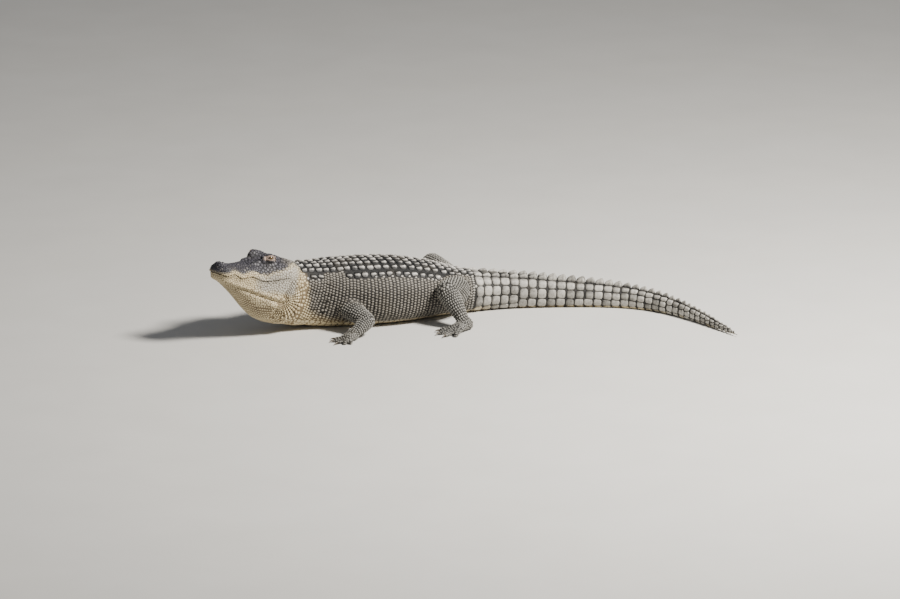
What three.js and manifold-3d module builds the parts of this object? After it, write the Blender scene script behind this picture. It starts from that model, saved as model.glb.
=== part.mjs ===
// American alligator, life size, lying on its belly with the head held up and the throat full.
// The animal faces -X with its left side towards -Y, and its tail bends towards its left.
// Millimetres, +Z up. The origin is on the floor under the middle of the whole animal.
import * as THREE from "three";
import { mergeVertices } from "three/addons/utils/BufferGeometryUtils.js";
import Module from "manifold-3d";

const wasm = await Module();
wasm.setup();

// Driving dimensions
const ORIGIN = new THREE.Vector2(732.2, -203.9); // from the spine's own zero to the middle of the animal
const GAP = 0.3; // clear space between two pieces that meet
const WELD = 1e-3; // vertices closer than this are one

// Places along the spine
const NECK_FRONT = 25;
const NECK_END = 200;
const SHOULDERS = 235;
const VENT = 880;
const TAIL_TIP = 2220;
const SPINE_STEP = 5;

// Stations along the spine: place, height of the centre, half width, back above the centre, belly below it
const BODY = [
  [25, 205, 104, 80, 175],
  [70, 197, 108, 86, 180],
  [120, 184, 116, 94, 178],
  [175, 168, 128, 107, 166],
  [235, 155, 141, 118, 165],
  [310, 143, 161, 127, 154],
  [400, 135, 181, 130, 145],
  [500, 128, 190, 128, 138],
  [600, 119, 184, 121, 128],
  [700, 107, 158, 108, 115],
  [790, 93, 130, 93, 100],
  [880, 82, 106, 82, 88],
  [1000, 73, 82, 73, 79],
  [1200, 62, 61, 62, 67],
  [1400, 52, 45, 52, 56],
  [1600, 43, 32, 43, 47],
  [1800, 34, 22, 34, 37],
  [2000, 24, 13, 24, 26],
  [2150, 14, 7, 14, 16],
  [2220, 8, 3, 8, 9],
];
const BACK_ROUNDNESS = 2.25; // exponents of the sections
const BELLY_ROUNDNESS = 2.7;
const NECK_PIECES = 5; // lengths that each part is made of
const TRUNK_PIECES = 15;
const TAIL_PIECES = 6;

// The head: snout tip to the back of the skull table, and to the end of the jaws
const HEAD_LENGTH = 358;
const HEAD_BACK = 376;
const HEAD_YAW = 22; // degrees, turned to the animal's left
const HEAD_PITCH = 14.5; // degrees, nose up
const SKULL_BASE = new THREE.Vector3(13, -42, 226); // back of the skull, level with the mouth

// Direction of the spine seen from above: place, degrees
const HEADING = [
  [25, HEAD_YAW],
  [120, 11],
  [220, 3],
  [320, 0],
  [820, 0],
  [950, -8],
  [1150, -18],
  [1400, -25],
  [1550, -36],
  [1700, -56],
  [1850, -69],
  [2220, -77],
];

// Upper jaw: distance from the snout tip, half width at the lip, height of the top, roundness at lip and top
const UPPER_JAW = [
  [0, 8, 10, 0.9, 0.9],
  [5, 28, 24, 0.85, 0.85],
  [14, 45, 33, 0.75, 0.8],
  [30, 56, 41, 0.7, 0.8],
  [50, 61, 42, 0.7, 0.85],
  [80, 63, 41, 0.7, 0.85],
  [120, 68, 45, 0.72, 0.85],
  [165, 76, 55, 0.8, 0.8],
  [205, 84, 68, 0.95, 0.75],
  [245, 94, 82, 1.15, 0.72],
  [290, 106, 90, 1.25, 0.6],
  [340, 112, 91, 1.2, 0.6],
  [376, 106, 85, 1.05, 0.7],
];
// Lower jaw: distance from the snout tip, depth of the jaw's edge, and how far the throat hangs below it
const LOWER_JAW = [
  [8, 14, 0],
  [20, 24, 1],
  [50, 34, 6],
  [100, 43, 26],
  [150, 52, 52],
  [200, 62, 78],
  [250, 72, 96],
  [300, 80, 102],
  [345, 78, 110],
  [376, 68, 120],
];
// Mouth line: distance from the snout tip, height
const MOUTH_LINE = [
  [0, 0],
  [31, -5],
  [62, 5],
  [104, -8],
  [155, 3],
  [207, -9],
  [258, 0],
  [310, 14],
  [376, 20],
];
const JAW_OVERLAP = 4; // the upper jaw stands out past the lower one
const CHIN_SETBACK = 6;
const NARROWEST_JAW = 4;
const JAW_TAPER = 0.06; // share of its half width that the lower jaw loses down to its edge
const THROAT_ROUNDNESS = 1.15;

// Places in the head's frame (distance from the snout tip, to the side, up) and half axes (long, wide, tall)
const BROW = { at: [245, 44, 82], axes: [36, 24, 28] };
const NOSE_PAD = { at: [27, 0, 37], axes: [24, 30, 12] };
const EYE_SEAT = [245, 55, 86];
const EYE_RADIUS = 16;
const EYE_DETAIL = 2; // times that a ball's faces are halved
const LUMP_DETAIL = 1;

// Rings of scales round the tail, with two crests at first and one after the rows join
const WHORLS = 38;
const DOUBLE_WHORLS = 16;
const LONGEST_WHORL = 41.6;
const SHORTENING = 0.45; // how much shorter the last whorl is
const KEEL_HEIGHT = 7; // of the rows along the back
const CREST_LEAN = 24; // degrees from the middle of the back, one less at each whorl
const CREST = { least: 7, rise: 16, stretch: 1.1, start: 0.1, fullness: 0.8 };
const FIN = { thick: 4.5, sunk: 9, top: 0.45, front: 0.05, peak: 0.82, rear: 0.96 };
const TAIL_CUTS = [7, 16, 26]; // whorls at which one length of tail ends and the next begins

// Legs: the root inside the body, the elbow or knee, the wrist or heel, and the foot's degrees outward
const LEGS = {
  left_fore: {
    root: [258, -70, 118],
    bend: [338, -240, 62],
    end: [256, -284, 22],
    side: -1,
    outward: 28,
    kind: "fore",
  },
  right_fore: {
    root: [258, 70, 118],
    bend: [330, 242, 66],
    end: [236, 282, 22],
    side: 1,
    outward: 24,
    kind: "fore",
  },
  left_hind: {
    root: [800, -60, 100],
    bend: [702, -205, 144],
    end: [748, -300, 27],
    side: -1,
    outward: 25,
    kind: "hind",
  },
  right_hind: {
    root: [800, 60, 100],
    bend: [792, 232, 144],
    end: [834, 300, 27],
    side: 1,
    outward: 26,
    kind: "hind",
  },
};
// Half thickness of a leg along its upper and lower lengths: share of the length, radius
const LEG_SHAPE = {
  fore: {
    upper: [[0, 50], [0.35, 47], [0.7, 40], [1, 34]],
    lower: [[0, 25], [0.3, 34], [0.6, 27], [1, 17]],
    names: ["upper_arm", "forearm"],
  },
  hind: {
    upper: [[0, 68], [0.35, 66], [0.7, 56], [1, 45]],
    lower: [[0, 34], [0.3, 43], [0.6, 33], [1, 22]],
    names: ["thigh", "shank"],
  },
};
const LEG_PIECES = 4;
const LEG_SIDES = 8;
const ROUND_END = [[0.97, 0.25], [0.64, 0.77]]; // of a leg's radius: out past the end, half thickness there

// Feet: stations of the sole from the heel forward (distance, half width, half height), the toes' radius,
// each toe's degrees from the foot's heading and its length, and how many inner toes bear claws
const FEET = {
  fore: {
    sole: [[-24, 12, 10], [-12, 23, 20], [4, 26, 23], [30, 29, 17], [52, 33, 12], [66, 27, 8]],
    toe: 8.5,
    toes: [[-58, 34], [-28, 48], [0, 54], [26, 47], [54, 36]],
    claws: 3,
  },
  hind: {
    sole: [[-32, 15, 13], [-18, 28, 26], [2, 31, 29], [38, 33, 20], [78, 37, 14], [98, 31, 9]],
    toe: 10.5,
    toes: [[-30, 58], [-9, 80], [11, 86], [32, 68]],
    claws: 3,
  },
};
const SOLE_SIDES = 8;
const TOE_SIDES = 6;
const SOLE_MIDDLE = 0.92; // height of the sole's middle, as a share of its half height
const KNUCKLE = { forward: 0.7, aside: 0.75, height: 0.7 }; // shares of the ball's distance, width and height
// Toes beyond the knuckle: share of the length, then shares of the radius for half width, middle, half height
const TOE_SHAPE = [[0.6, 0.95, 1, 1], [1, 0.62, 0.75, 0.6]];
const CLAW_LENGTH = 21;
const CLAW_RADIUS = 5.2;
const CLAW_BASE = { half: 0.85, middle: 0.8 };
const CLAW_WAIST = { far: 0.5, half: 0.6, middle: 0.72, tall: 0.7 };
const CLAW_TIP = { half: 0.12, middle: 0.4, tall: 0.15 };

const HIDE = { color: 0x6f6a60, roughness: 0.75, metalness: 0 };
const PALE_HIDE = { color: 0xb3a67f, roughness: 0.7, metalness: 0 };
const HEAD_HIDE = { color: 0x57565c, roughness: 0.65, metalness: 0 };
const EYE = { color: 0x4a3c22, roughness: 0.15, metalness: 0 };
const CLAW = { color: 0x2c2722, roughness: 0.5, metalness: 0 };

// A smooth curve through the rows of a table, read at any place
function read(table, at, column = 1) {
  const last = table.length - 1;
  const here = THREE.MathUtils.clamp(at, table[0][0], table[last][0]);
  let i = 0;
  while (i < last - 1 && here > table[i + 1][0]) i++;
  const slope = (k) => {
    const a = table[Math.max(k - 1, 0)];
    const b = table[Math.min(k + 1, last)];
    return (b[column] - a[column]) / (b[0] - a[0]);
  };
  const span = table[i + 1][0] - table[i][0];
  const t = (here - table[i][0]) / span;
  const rise = table[i + 1][column] - table[i][column];
  const start = slope(i) * span;
  const end = slope(i + 1) * span;
  return table[i][column] + start * t + (3 * rise - 2 * start - end) * t * t
    + (start + end - 2 * rise) * t * t * t;
}

const radians = THREE.MathUtils.degToRad;
const power = (value, exponent) => Math.sign(value) * Math.abs(value) ** exponent;
const onFloor = (point) => point.setZ(Math.max(point.z, 0));

// The spine, walked in short steps on the level, with its height from the stations
const walked = [new THREE.Vector2(0, 0)];
for (let s = NECK_FRONT; s < TAIL_TIP; s += SPINE_STEP) {
  const turn = radians(read(HEADING, s + SPINE_STEP / 2));
  const fall = (read(BODY, s + SPINE_STEP) - read(BODY, s)) / SPINE_STEP;
  const level = SPINE_STEP * Math.sqrt(1 - fall * fall);
  const step = new THREE.Vector2(Math.cos(turn), Math.sin(turn)).multiplyScalar(level);
  walked.push(walked.at(-1).clone().add(step));
}
const shoulders = walked[(SHOULDERS - NECK_FRONT) / SPINE_STEP].clone();

// The spine's place and directions: back along the body, to the animal's left, and up
function spine(s) {
  const k = THREE.MathUtils.clamp((s - NECK_FRONT) / SPINE_STEP, 0, walked.length - 1.001);
  const level = walked[Math.floor(k)].clone().lerp(walked[Math.floor(k) + 1], k % 1).sub(shoulders);
  const turn = radians(read(HEADING, s));
  const fall = Math.asin((read(BODY, s + 1) - read(BODY, s - 1)) / 2);
  const left = new THREE.Vector3(Math.sin(turn), -Math.cos(turn), 0);
  const back = new THREE.Vector3(Math.cos(turn), Math.sin(turn), 0)
    .multiplyScalar(Math.cos(fall))
    .setZ(Math.sin(fall));
  const up = new THREE.Vector3().crossVectors(left, back);
  return { at: new THREE.Vector3(level.x + SHOULDERS, level.y, read(BODY, s)), left, up };
}

// Rings of points, joined into one closed body with a cap at each end
function loft(rings) {
  const count = rings[0].length;
  const points = rings.flat();
  const faces = [];
  for (let r = 0; r + 1 < rings.length; r++) {
    for (let k = 0; k < count; k++) {
      const a = r * count + k;
      const b = r * count + ((k + 1) % count);
      faces.push(a, b, b + count, a, b + count, a + count);
    }
  }
  for (const [ring, flip] of [[0, true], [rings.length - 1, false]]) {
    const middle = points.length;
    points.push(rings[ring].reduce((sum, p) => sum.add(p), new THREE.Vector3()).divideScalar(count));
    for (let k = 0; k < count; k++) {
      const a = ring * count + k;
      const b = ring * count + ((k + 1) % count);
      faces.push(...(flip ? [b, a, middle] : [a, b, middle]));
    }
  }
  const corner = (k) => points[faces[k]];
  let volume = 0;
  for (let k = 0; k < faces.length; k += 3) {
    volume += new THREE.Vector3().crossVectors(corner(k), corner(k + 1)).dot(corner(k + 2));
  }
  const geometry = new THREE.BufferGeometry().setFromPoints(points);
  geometry.setIndex(volume > 0 ? faces : faces.reverse());
  return geometry;
}

// A closed geometry as a solid that can be joined and cut, and back
function solid(geometry) {
  const bare = geometry.clone();
  bare.deleteAttribute("normal");
  bare.deleteAttribute("uv");
  const merged = mergeVertices(bare, WELD);
  return new wasm.Manifold(new wasm.Mesh({
    numProp: 3,
    vertProperties: merged.attributes.position.array,
    triVerts: new Uint32Array(merged.index.array),
  }));
}

function geometryOf(made) {
  const mesh = made.getMesh();
  const geometry = new THREE.BufferGeometry();
  geometry.setAttribute("position", new THREE.BufferAttribute(mesh.vertProperties, 3));
  geometry.setIndex(new THREE.BufferAttribute(mesh.triVerts, 1));
  return geometry;
}

// Angles round the body, in degrees from the middle of the back: fine over the keels, coarse below
const KEEL_STEP = 7.5;
const BACK_EDGE = 60;
const SIDES_AND_BELLY = [75, 90, 106, 124, 144, 164, 196, 216, 236, 254, 270, 285];
const TAIL_STEP = 22.5;
const keelAngles = [];
for (let a = -BACK_EDGE; a <= BACK_EDGE; a += KEEL_STEP) keelAngles.push(a);
const bodyAngles = [...keelAngles, ...SIDES_AND_BELLY];
const tailAngles = [];
for (let a = 0; a < 360; a += TAIL_STEP) tailAngles.push(a);

// One section of neck, trunk or tail, grown or shrunk by extra
function bodyRing(s, angles, extra = 0) {
  const { at, left, up } = spine(s);
  const half = read(BODY, s, 2) + extra;
  const back = read(BODY, s, 3) + extra;
  const belly = read(BODY, s, 4) + extra;
  return angles.map((degrees, k) => {
    const a = radians(degrees);
    const sharpness = 2 / (Math.cos(a) > 0 ? BACK_ROUNDNESS : BELLY_ROUNDNESS);
    const onBack = Math.abs(degrees) <= BACK_EDGE && angles === bodyAngles;
    const valley = onBack && k % 2 === 0 ? KEEL_HEIGHT : 0;
    const side = half * power(Math.sin(a), sharpness);
    const rise = (Math.cos(a) > 0 ? back : belly) * power(Math.cos(a), sharpness) - valley;
    return onFloor(at.clone().addScaledVector(left, side).addScaledVector(up, rise));
  });
}

function bodyLength(from, to, pieces, angles, extra = 0) {
  const rings = [];
  for (let k = 0; k <= pieces; k++) rings.push(bodyRing(from + ((to - from) * k) / pieces, angles, extra));
  return loft(rings);
}

// The crest of the tail: a fin on each side of the top of a whorl, or one where the rows have joined
const whorlEnds = [VENT];
for (let i = 0; i < WHORLS; i++) {
  whorlEnds.push(whorlEnds.at(-1) + LONGEST_WHORL * (1 - SHORTENING * (i / WHORLS) ** 2));
}

function crestHeight(i) {
  const share = Math.min((i / WHORLS) * CREST.stretch + CREST.start, 1);
  return CREST.least + CREST.rise * Math.sin(Math.PI * share) ** CREST.fullness;
}

function fin(from, to, lean, height) {
  const place = (s, side, rise) => {
    const { at, left, up } = spine(s);
    const top = read(BODY, s, 3) * Math.cos(radians(lean)) ** (2 / BACK_ROUNDNESS);
    const out = read(BODY, s, 2) * power(Math.sin(radians(lean)), 2 / BACK_ROUNDNESS);
    return at.clone().addScaledVector(left, out + side).addScaledVector(up, top + rise);
  };
  const outline = [[FIN.front, -FIN.sunk], [FIN.peak, height], [FIN.rear, -FIN.sunk]];
  const face = (side) => outline.map(([along, rise]) => {
    const thick = FIN.thick * (rise > 0 ? FIN.top : 1);
    return place(from + (to - from) * along, side * thick, rise);
  });
  return solid(loft([face(1), face(-1)]));
}

// A straight length of leg with rounded ends, its radii read from a table, grown by extra
function legLength(from, to, shape, extra = 0) {
  const start = new THREE.Vector3(...from);
  const axis = new THREE.Vector3(...to).sub(start);
  const upright = new THREE.Vector3(0, 0, 1);
  const turn = new THREE.Quaternion().setFromUnitVectors(upright, axis.clone().normalize());
  const first = read(shape, 0) + extra;
  const last = read(shape, 1) + extra;
  const rows = ROUND_END.map(([out, half]) => [-first * out, first * half]);
  for (let k = 0; k <= LEG_PIECES; k++) {
    rows.push([axis.length() * (k / LEG_PIECES), read(shape, k / LEG_PIECES) + extra]);
  }
  rows.push(...ROUND_END.map(([out, half]) => [axis.length() + last * out, last * half]).reverse());
  return solid(loft(rows.map(([far, radius]) => {
    const ring = [];
    for (let a = 0; a < 360; a += 360 / LEG_SIDES) {
      const p = new THREE.Vector3(radius * Math.cos(radians(a)), radius * Math.sin(radians(a)), far);
      ring.push(onFloor(p.applyQuaternion(turn).add(start)));
    }
    return ring;
  })));
}

// A level run of rings on the floor: distance along, half width, height of the middle, half height
function levelRings(start, degrees, rows, sides) {
  const along = new THREE.Vector3(-Math.cos(radians(degrees)), Math.sin(radians(degrees)), 0);
  const across = new THREE.Vector3(along.y, -along.x, 0);
  return rows.map(([far, half, middle, tall]) => {
    const ring = [];
    for (let k = 0; k < sides; k++) {
      const a = (2 * Math.PI * (k + 0.5)) / sides;
      const p = start.clone().addScaledVector(along, far).addScaledVector(across, half * Math.cos(a));
      ring.push(onFloor(p.setZ(middle + tall * Math.sin(a))));
    }
    return ring;
  });
}

function sole(leg, extra = 0) {
  const rows = FEET[leg.kind].sole.map(([far, half, tall]) => (
    [far, half + extra, tall * SOLE_MIDDLE, tall + extra]
  ));
  rows[0][0] -= extra;
  rows.at(-1)[0] += extra;
  const heel = new THREE.Vector3(leg.end[0], leg.end[1], 0);
  return solid(loft(levelRings(heel, leg.side * leg.outward, rows, SOLE_SIDES)));
}

function footAndClaws(leg) {
  const foot = FEET[leg.kind];
  const heading = leg.side * leg.outward;
  const forward = new THREE.Vector3(-Math.cos(radians(heading)), Math.sin(radians(heading)), 0);
  const outer = new THREE.Vector3(-forward.y, forward.x, 0).multiplyScalar(-leg.side);
  const [ball, width, height] = foot.sole.at(-2);
  const r = foot.toe;
  const spread = foot.toes.at(-1)[0];
  const claws = [];
  let made = sole(leg);
  foot.toes.forEach(([angle, length], k) => {
    const knuckle = new THREE.Vector3(leg.end[0], leg.end[1], 0)
      .addScaledVector(forward, ball * KNUCKLE.forward)
      .addScaledVector(outer, (angle / spread) * (width - r) * KNUCKLE.aside);
    const turned = heading + leg.side * angle;
    const toe = [
      [0, r, height * KNUCKLE.height, height * KNUCKLE.height],
      ...TOE_SHAPE.map(([far, half, middle, tall]) => [length * far, r * half, r * middle, r * tall]),
    ];
    made = made.add(solid(loft(levelRings(knuckle, turned, toe, TOE_SIDES))));
    if (k >= foot.claws) return;
    const claw = [
      [length + GAP, CLAW_RADIUS * CLAW_BASE.half, r * CLAW_BASE.middle, CLAW_RADIUS],
      [
        length + CLAW_LENGTH * CLAW_WAIST.far,
        CLAW_RADIUS * CLAW_WAIST.half,
        r * CLAW_WAIST.middle,
        CLAW_RADIUS * CLAW_WAIST.tall,
      ],
      [
        length + CLAW_LENGTH,
        CLAW_RADIUS * CLAW_TIP.half,
        CLAW_RADIUS * CLAW_TIP.middle,
        CLAW_RADIUS * CLAW_TIP.tall,
      ],
    ];
    claws.push(solid(loft(levelRings(knuckle, turned, claw, TOE_SIDES))));
  });
  return { made, claws };
}

// The head's own frame: distance back from the snout tip, to the left, and up from the mouth
const ahead = new THREE.Vector3(
  -Math.cos(radians(HEAD_YAW)) * Math.cos(radians(HEAD_PITCH)),
  -Math.sin(radians(HEAD_YAW)) * Math.cos(radians(HEAD_PITCH)),
  Math.sin(radians(HEAD_PITCH)),
);
const headLeft = new THREE.Vector3(Math.sin(radians(HEAD_YAW)), -Math.cos(radians(HEAD_YAW)), 0);
const headUp = new THREE.Vector3().crossVectors(ahead, headLeft);

function headPoint(fromTip, left, up) {
  return SKULL_BASE.clone()
    .addScaledVector(ahead, HEAD_LENGTH - fromTip)
    .addScaledVector(headLeft, left)
    .addScaledVector(headUp, up);
}

// An ellipsoid in the head's frame, on the left side or mirrored to the right
function headBall([fromTip, left, up], [long, wide, tall], side, detail) {
  const ball = new THREE.IcosahedronGeometry(1, detail);
  const axes = new THREE.Matrix4().makeBasis(
    ahead.clone().multiplyScalar(long),
    headLeft.clone().multiplyScalar(wide),
    headUp.clone().multiplyScalar(tall),
  ).setPosition(headPoint(fromTip, side * left, up));
  return solid(ball.applyMatrix4(axes));
}

// Sections of the jaws: close at the snout's tip, and evenly spaced behind it
const JAW_STEP = 31.2;
const jawStations = [0, 3, 8, 14, 24, 36, 52];
for (let t = 76; t < HEAD_BACK; t += JAW_STEP) jawStations.push(t);
jawStations.push(HEAD_BACK);
const ARCH_POINTS = 12; // over the upper jaw from lip to lip
const JAW_SIDE_POINTS = 3;
const THROAT_POINTS = 4;

function upperJaw(extra = 0) {
  return loft(jawStations.map((t) => {
    const [half, top, around, over] = [1, 2, 3, 4].map((column) => read(UPPER_JAW, t, column));
    const mouth = read(MOUTH_LINE, t);
    const far = t === HEAD_BACK ? t + extra : t;
    const ring = [];
    for (let k = 0; k <= ARCH_POINTS; k++) {
      const a = (Math.PI * k) / ARCH_POINTS;
      const across = (half + extra) * power(Math.cos(a), around);
      ring.push(headPoint(far, across, mouth + (top + extra - mouth) * power(Math.sin(a), over)));
    }
    return ring;
  }));
}

function lowerJaw(extra = 0) {
  const chin = LOWER_JAW[0][0];
  return loft(jawStations.filter((t) => t > chin).map((t) => {
    const above = read(UPPER_JAW, t - CHIN_SETBACK);
    const half = Math.max(above - JAW_OVERLAP, NARROWEST_JAW) + extra;
    const depth = read(LOWER_JAW, t, 1);
    const hang = read(LOWER_JAW, t, 2) + extra;
    const mouth = read(MOUTH_LINE, t) - GAP + extra;
    const far = t === HEAD_BACK ? t + extra : t;
    const side = [];
    for (let k = 0; k < JAW_SIDE_POINTS; k++) {
      const share = k / JAW_SIDE_POINTS;
      side.push([half * (1 - JAW_TAPER * share * share), mouth - (mouth + depth) * share]);
    }
    for (let k = 0; k < THROAT_POINTS; k++) {
      const a = (Math.PI / 2) * (k / THROAT_POINTS);
      side.push([
        half * (1 - JAW_TAPER) * Math.cos(a) ** THROAT_ROUNDNESS,
        -depth - hang * Math.sin(a) ** THROAT_ROUNDNESS,
      ]);
    }
    const mirrored = side.slice().reverse().map(([across, up]) => [-across, up]);
    return [...side, [0, -depth - hang], ...mirrored].map(([across, up]) => headPoint(far, across, up));
  }));
}

// Assembly
const animal = new THREE.Group();
animal.position.set(-ORIGIN.x, -ORIGIN.y, 0);

function place(name, geometry, finish) {
  const mesh = new THREE.Mesh(geometry, new THREE.MeshStandardMaterial(finish));
  mesh.name = name;
  animal.add(mesh);
}

const ball = (radius) => [radius, radius, radius];
let skull = solid(upperJaw());
for (const side of [1, -1]) skull = skull.add(headBall(BROW.at, BROW.axes, side, LUMP_DETAIL));
skull = skull.add(headBall(NOSE_PAD.at, NOSE_PAD.axes, 1, LUMP_DETAIL));
for (const [name, side] of [["eye_left", 1], ["eye_right", -1]]) {
  skull = skull.subtract(headBall(EYE_SEAT, ball(EYE_RADIUS + GAP), side, EYE_DETAIL));
  place(name, geometryOf(headBall(EYE_SEAT, ball(EYE_RADIUS), side, EYE_DETAIL)), EYE);
}
place("head", geometryOf(skull), HEAD_HIDE);
place("lower_jaw", lowerJaw(), PALE_HIDE);

const neck = [NECK_FRONT + GAP, NECK_END - GAP / 2, NECK_PIECES, bodyAngles];
const trunk = [NECK_END + GAP / 2, VENT - GAP / 2, TRUNK_PIECES, bodyAngles];
const headCut = solid(upperJaw(GAP)).add(solid(lowerJaw(GAP * 2)));
place("neck", geometryOf(solid(bodyLength(...neck)).subtract(headCut)), PALE_HIDE);
place("trunk", bodyLength(...trunk), HIDE);

const tailCuts = [0, ...TAIL_CUTS, WHORLS];
const tailNames = ["tail_base", "tail_fore", "tail_middle", "tail_tip"];
tailNames.forEach((name, k) => {
  const from = whorlEnds[tailCuts[k]] + GAP / 2;
  const to = (k < TAIL_CUTS.length ? whorlEnds[tailCuts[k + 1]] : TAIL_TIP) - GAP / 2;
  let length = solid(bodyLength(from, to, TAIL_PIECES, tailAngles));
  for (let i = tailCuts[k]; i < tailCuts[k + 1] && whorlEnds[i + 1] < TAIL_TIP; i++) {
    const leans = i < DOUBLE_WHORLS ? [CREST_LEAN - i, i - CREST_LEAN] : [0];
    for (const lean of leans) length = length.add(fin(whorlEnds[i], whorlEnds[i + 1], lean, crestHeight(i)));
  }
  place(name, geometryOf(length), HIDE);
});

// The legs are cut where they leave the body, so that they meet it all round
const bodyCut = solid(bodyLength(...trunk, GAP)).add(solid(bodyLength(...neck, GAP)));
for (const [name, leg] of Object.entries(LEGS)) {
  const { upper, lower, names } = LEG_SHAPE[leg.kind];
  const upperLength = legLength(leg.root, leg.bend, upper).subtract(bodyCut);
  const upperCut = legLength(leg.root, leg.bend, upper, GAP);
  const lowerLength = legLength(leg.bend, leg.end, lower).subtract(bodyCut).subtract(upperCut);
  place(`${name}_${names[0]}`, geometryOf(upperLength), HIDE);
  place(`${name}_${names[1]}`, geometryOf(lowerLength.subtract(sole(leg, GAP))), HIDE);
  const { made, claws } = footAndClaws(leg);
  place(`${name}_foot`, geometryOf(made), HIDE);
  claws.forEach((claw, k) => place(`${name}_claw_${k + 1}`, geometryOf(claw), CLAW));
}

export default animal;
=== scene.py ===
import functools
import itertools

import bmesh
import bpy
import numpy as np
from bpy.props import FloatProperty, FloatVectorProperty, PointerProperty
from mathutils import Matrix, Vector
from mathutils.bvhtree import BVHTree
from mathutils.kdtree import KDTree


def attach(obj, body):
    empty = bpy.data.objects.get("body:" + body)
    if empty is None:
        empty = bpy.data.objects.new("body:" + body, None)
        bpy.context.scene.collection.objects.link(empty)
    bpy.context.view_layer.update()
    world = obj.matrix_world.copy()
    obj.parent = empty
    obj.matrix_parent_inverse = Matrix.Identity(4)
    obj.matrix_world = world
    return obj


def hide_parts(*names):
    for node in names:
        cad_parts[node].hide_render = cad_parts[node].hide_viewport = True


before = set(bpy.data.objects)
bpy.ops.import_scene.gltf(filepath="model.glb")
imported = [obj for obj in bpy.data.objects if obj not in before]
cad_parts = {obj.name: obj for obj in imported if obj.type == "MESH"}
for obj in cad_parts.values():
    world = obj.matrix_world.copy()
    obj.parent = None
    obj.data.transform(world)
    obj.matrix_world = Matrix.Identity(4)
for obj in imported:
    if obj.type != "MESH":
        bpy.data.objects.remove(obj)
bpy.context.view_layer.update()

bl_info = {
    "name": "Alligator coat",
    "version": (1, 0, 0),
    "blender": (4, 5, 0),
    "location": "3D View > Sidebar > Alligator",
    "description": "One skin, scales, eyes and claws over the solids of a lying alligator",
    "category": "Object",
}

MM = 0.001

# The animal's driving sizes, in millimetres, as the solids have them
ORIGIN = np.array([732.2, -203.9, 0.0])  # from the spine's own zero to the middle of the animal
NECK_FRONT = 25
SHOULDERS = 235
HIPS = 790
VENT = 880
TAIL_TIP = 2220
HEAD_LENGTH = 358
HEAD_BACK = 376
HEAD_YAW = 22
HEAD_PITCH = 14.5
SKULL_BASE = np.array([13.0, -42.0, 226.0])
JAW_OVERLAP = 4
CHIN_SETBACK = 6
NARROWEST_JAW = 4
JAW_TAPER = 0.06
THROAT_ROUNDNESS = 1.15
BACK_ROUNDNESS = 2.25
BELLY_ROUNDNESS = 2.7
EYE_SEAT = (245, 55, 86)
WHORLS = 38
DOUBLE_WHORLS = 16
LONGEST_WHORL = 41.6
SHORTENING = 0.45
CREST = {"least": 7, "stretch": 1.1, "start": 0.1, "fullness": 0.8, "lean": 24}

# Stations along the spine: place, height of the centre, half width, back above the centre, belly below it
BODY = np.array([
    [25, 205, 104, 80, 175],
    [70, 197, 108, 86, 180],
    [120, 184, 116, 94, 178],
    [175, 168, 128, 107, 166],
    [235, 155, 141, 118, 165],
    [310, 143, 161, 127, 154],
    [400, 135, 181, 130, 145],
    [500, 128, 190, 128, 138],
    [600, 119, 184, 121, 128],
    [700, 107, 158, 108, 115],
    [790, 93, 130, 93, 100],
    [880, 82, 106, 82, 88],
    [1000, 73, 82, 73, 79],
    [1200, 62, 61, 62, 67],
    [1400, 52, 45, 52, 56],
    [1600, 43, 32, 43, 47],
    [1800, 34, 22, 34, 37],
    [2000, 24, 13, 24, 26],
    [2150, 14, 7, 14, 16],
    [2220, 8, 3, 8, 9],
], float)
# Direction of the spine seen from above: place, degrees
HEADING = np.array([
    [25, HEAD_YAW], [120, 11], [220, 3], [320, 0], [820, 0], [950, -8], [1150, -18],
    [1400, -25], [1550, -36], [1700, -56], [1850, -69], [2220, -77],
], float)
# Upper jaw: distance from the snout tip, half width, height of the top, and how the section is rounded
UPPER_JAW = np.array([
    [0, 8, 10, 0.9, 0.9],
    [5, 28, 24, 0.85, 0.85],
    [14, 45, 33, 0.75, 0.8],
    [30, 56, 41, 0.7, 0.8],
    [50, 61, 42, 0.7, 0.85],
    [80, 63, 41, 0.7, 0.85],
    [120, 68, 45, 0.72, 0.85],
    [165, 76, 55, 0.8, 0.8],
    [205, 84, 68, 0.95, 0.75],
    [245, 94, 82, 1.15, 0.72],
    [290, 106, 90, 1.25, 0.6],
    [340, 112, 91, 1.2, 0.6],
    [376, 106, 85, 1.05, 0.7],
], float)
# Lower jaw: distance from the snout tip, depth of the jaw's edge, and how far the throat hangs below it
LOWER_JAW = np.array([
    [8, 14, 0], [20, 24, 1], [50, 34, 6], [100, 43, 26], [150, 52, 52],
    [200, 62, 78], [250, 72, 96], [300, 80, 102], [345, 78, 110], [376, 68, 120],
], float)
# Mouth line: distance from the snout tip, height
MOUTH_LINE = np.array([
    [0, 0], [31, -5], [62, 5], [104, -8], [155, 3], [207, -9], [258, 0], [310, 14], [376, 20],
], float)


def limb(kind, side, outward, root, bend, end):
    """A leg: its root, its elbow or knee, its wrist or heel, and the foot's degrees outward."""
    return {
        "kind": kind,
        "side": side,
        "outward": outward,
        "root": np.array(root, float),
        "bend": np.array(bend, float),
        "end": np.array(end, float),
    }


LEGS = (
    limb("fore", -1, 28, (258, -70, 118), (338, -240, 62), (256, -284, 22)),
    limb("fore", 1, 24, (258, 70, 118), (330, 242, 66), (236, 282, 22)),
    limb("hind", -1, 25, (800, -60, 100), (702, -205, 144), (748, -300, 27)),
    limb("hind", 1, 26, (800, 60, 100), (792, 232, 144), (834, 300, 27)),
)
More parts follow.
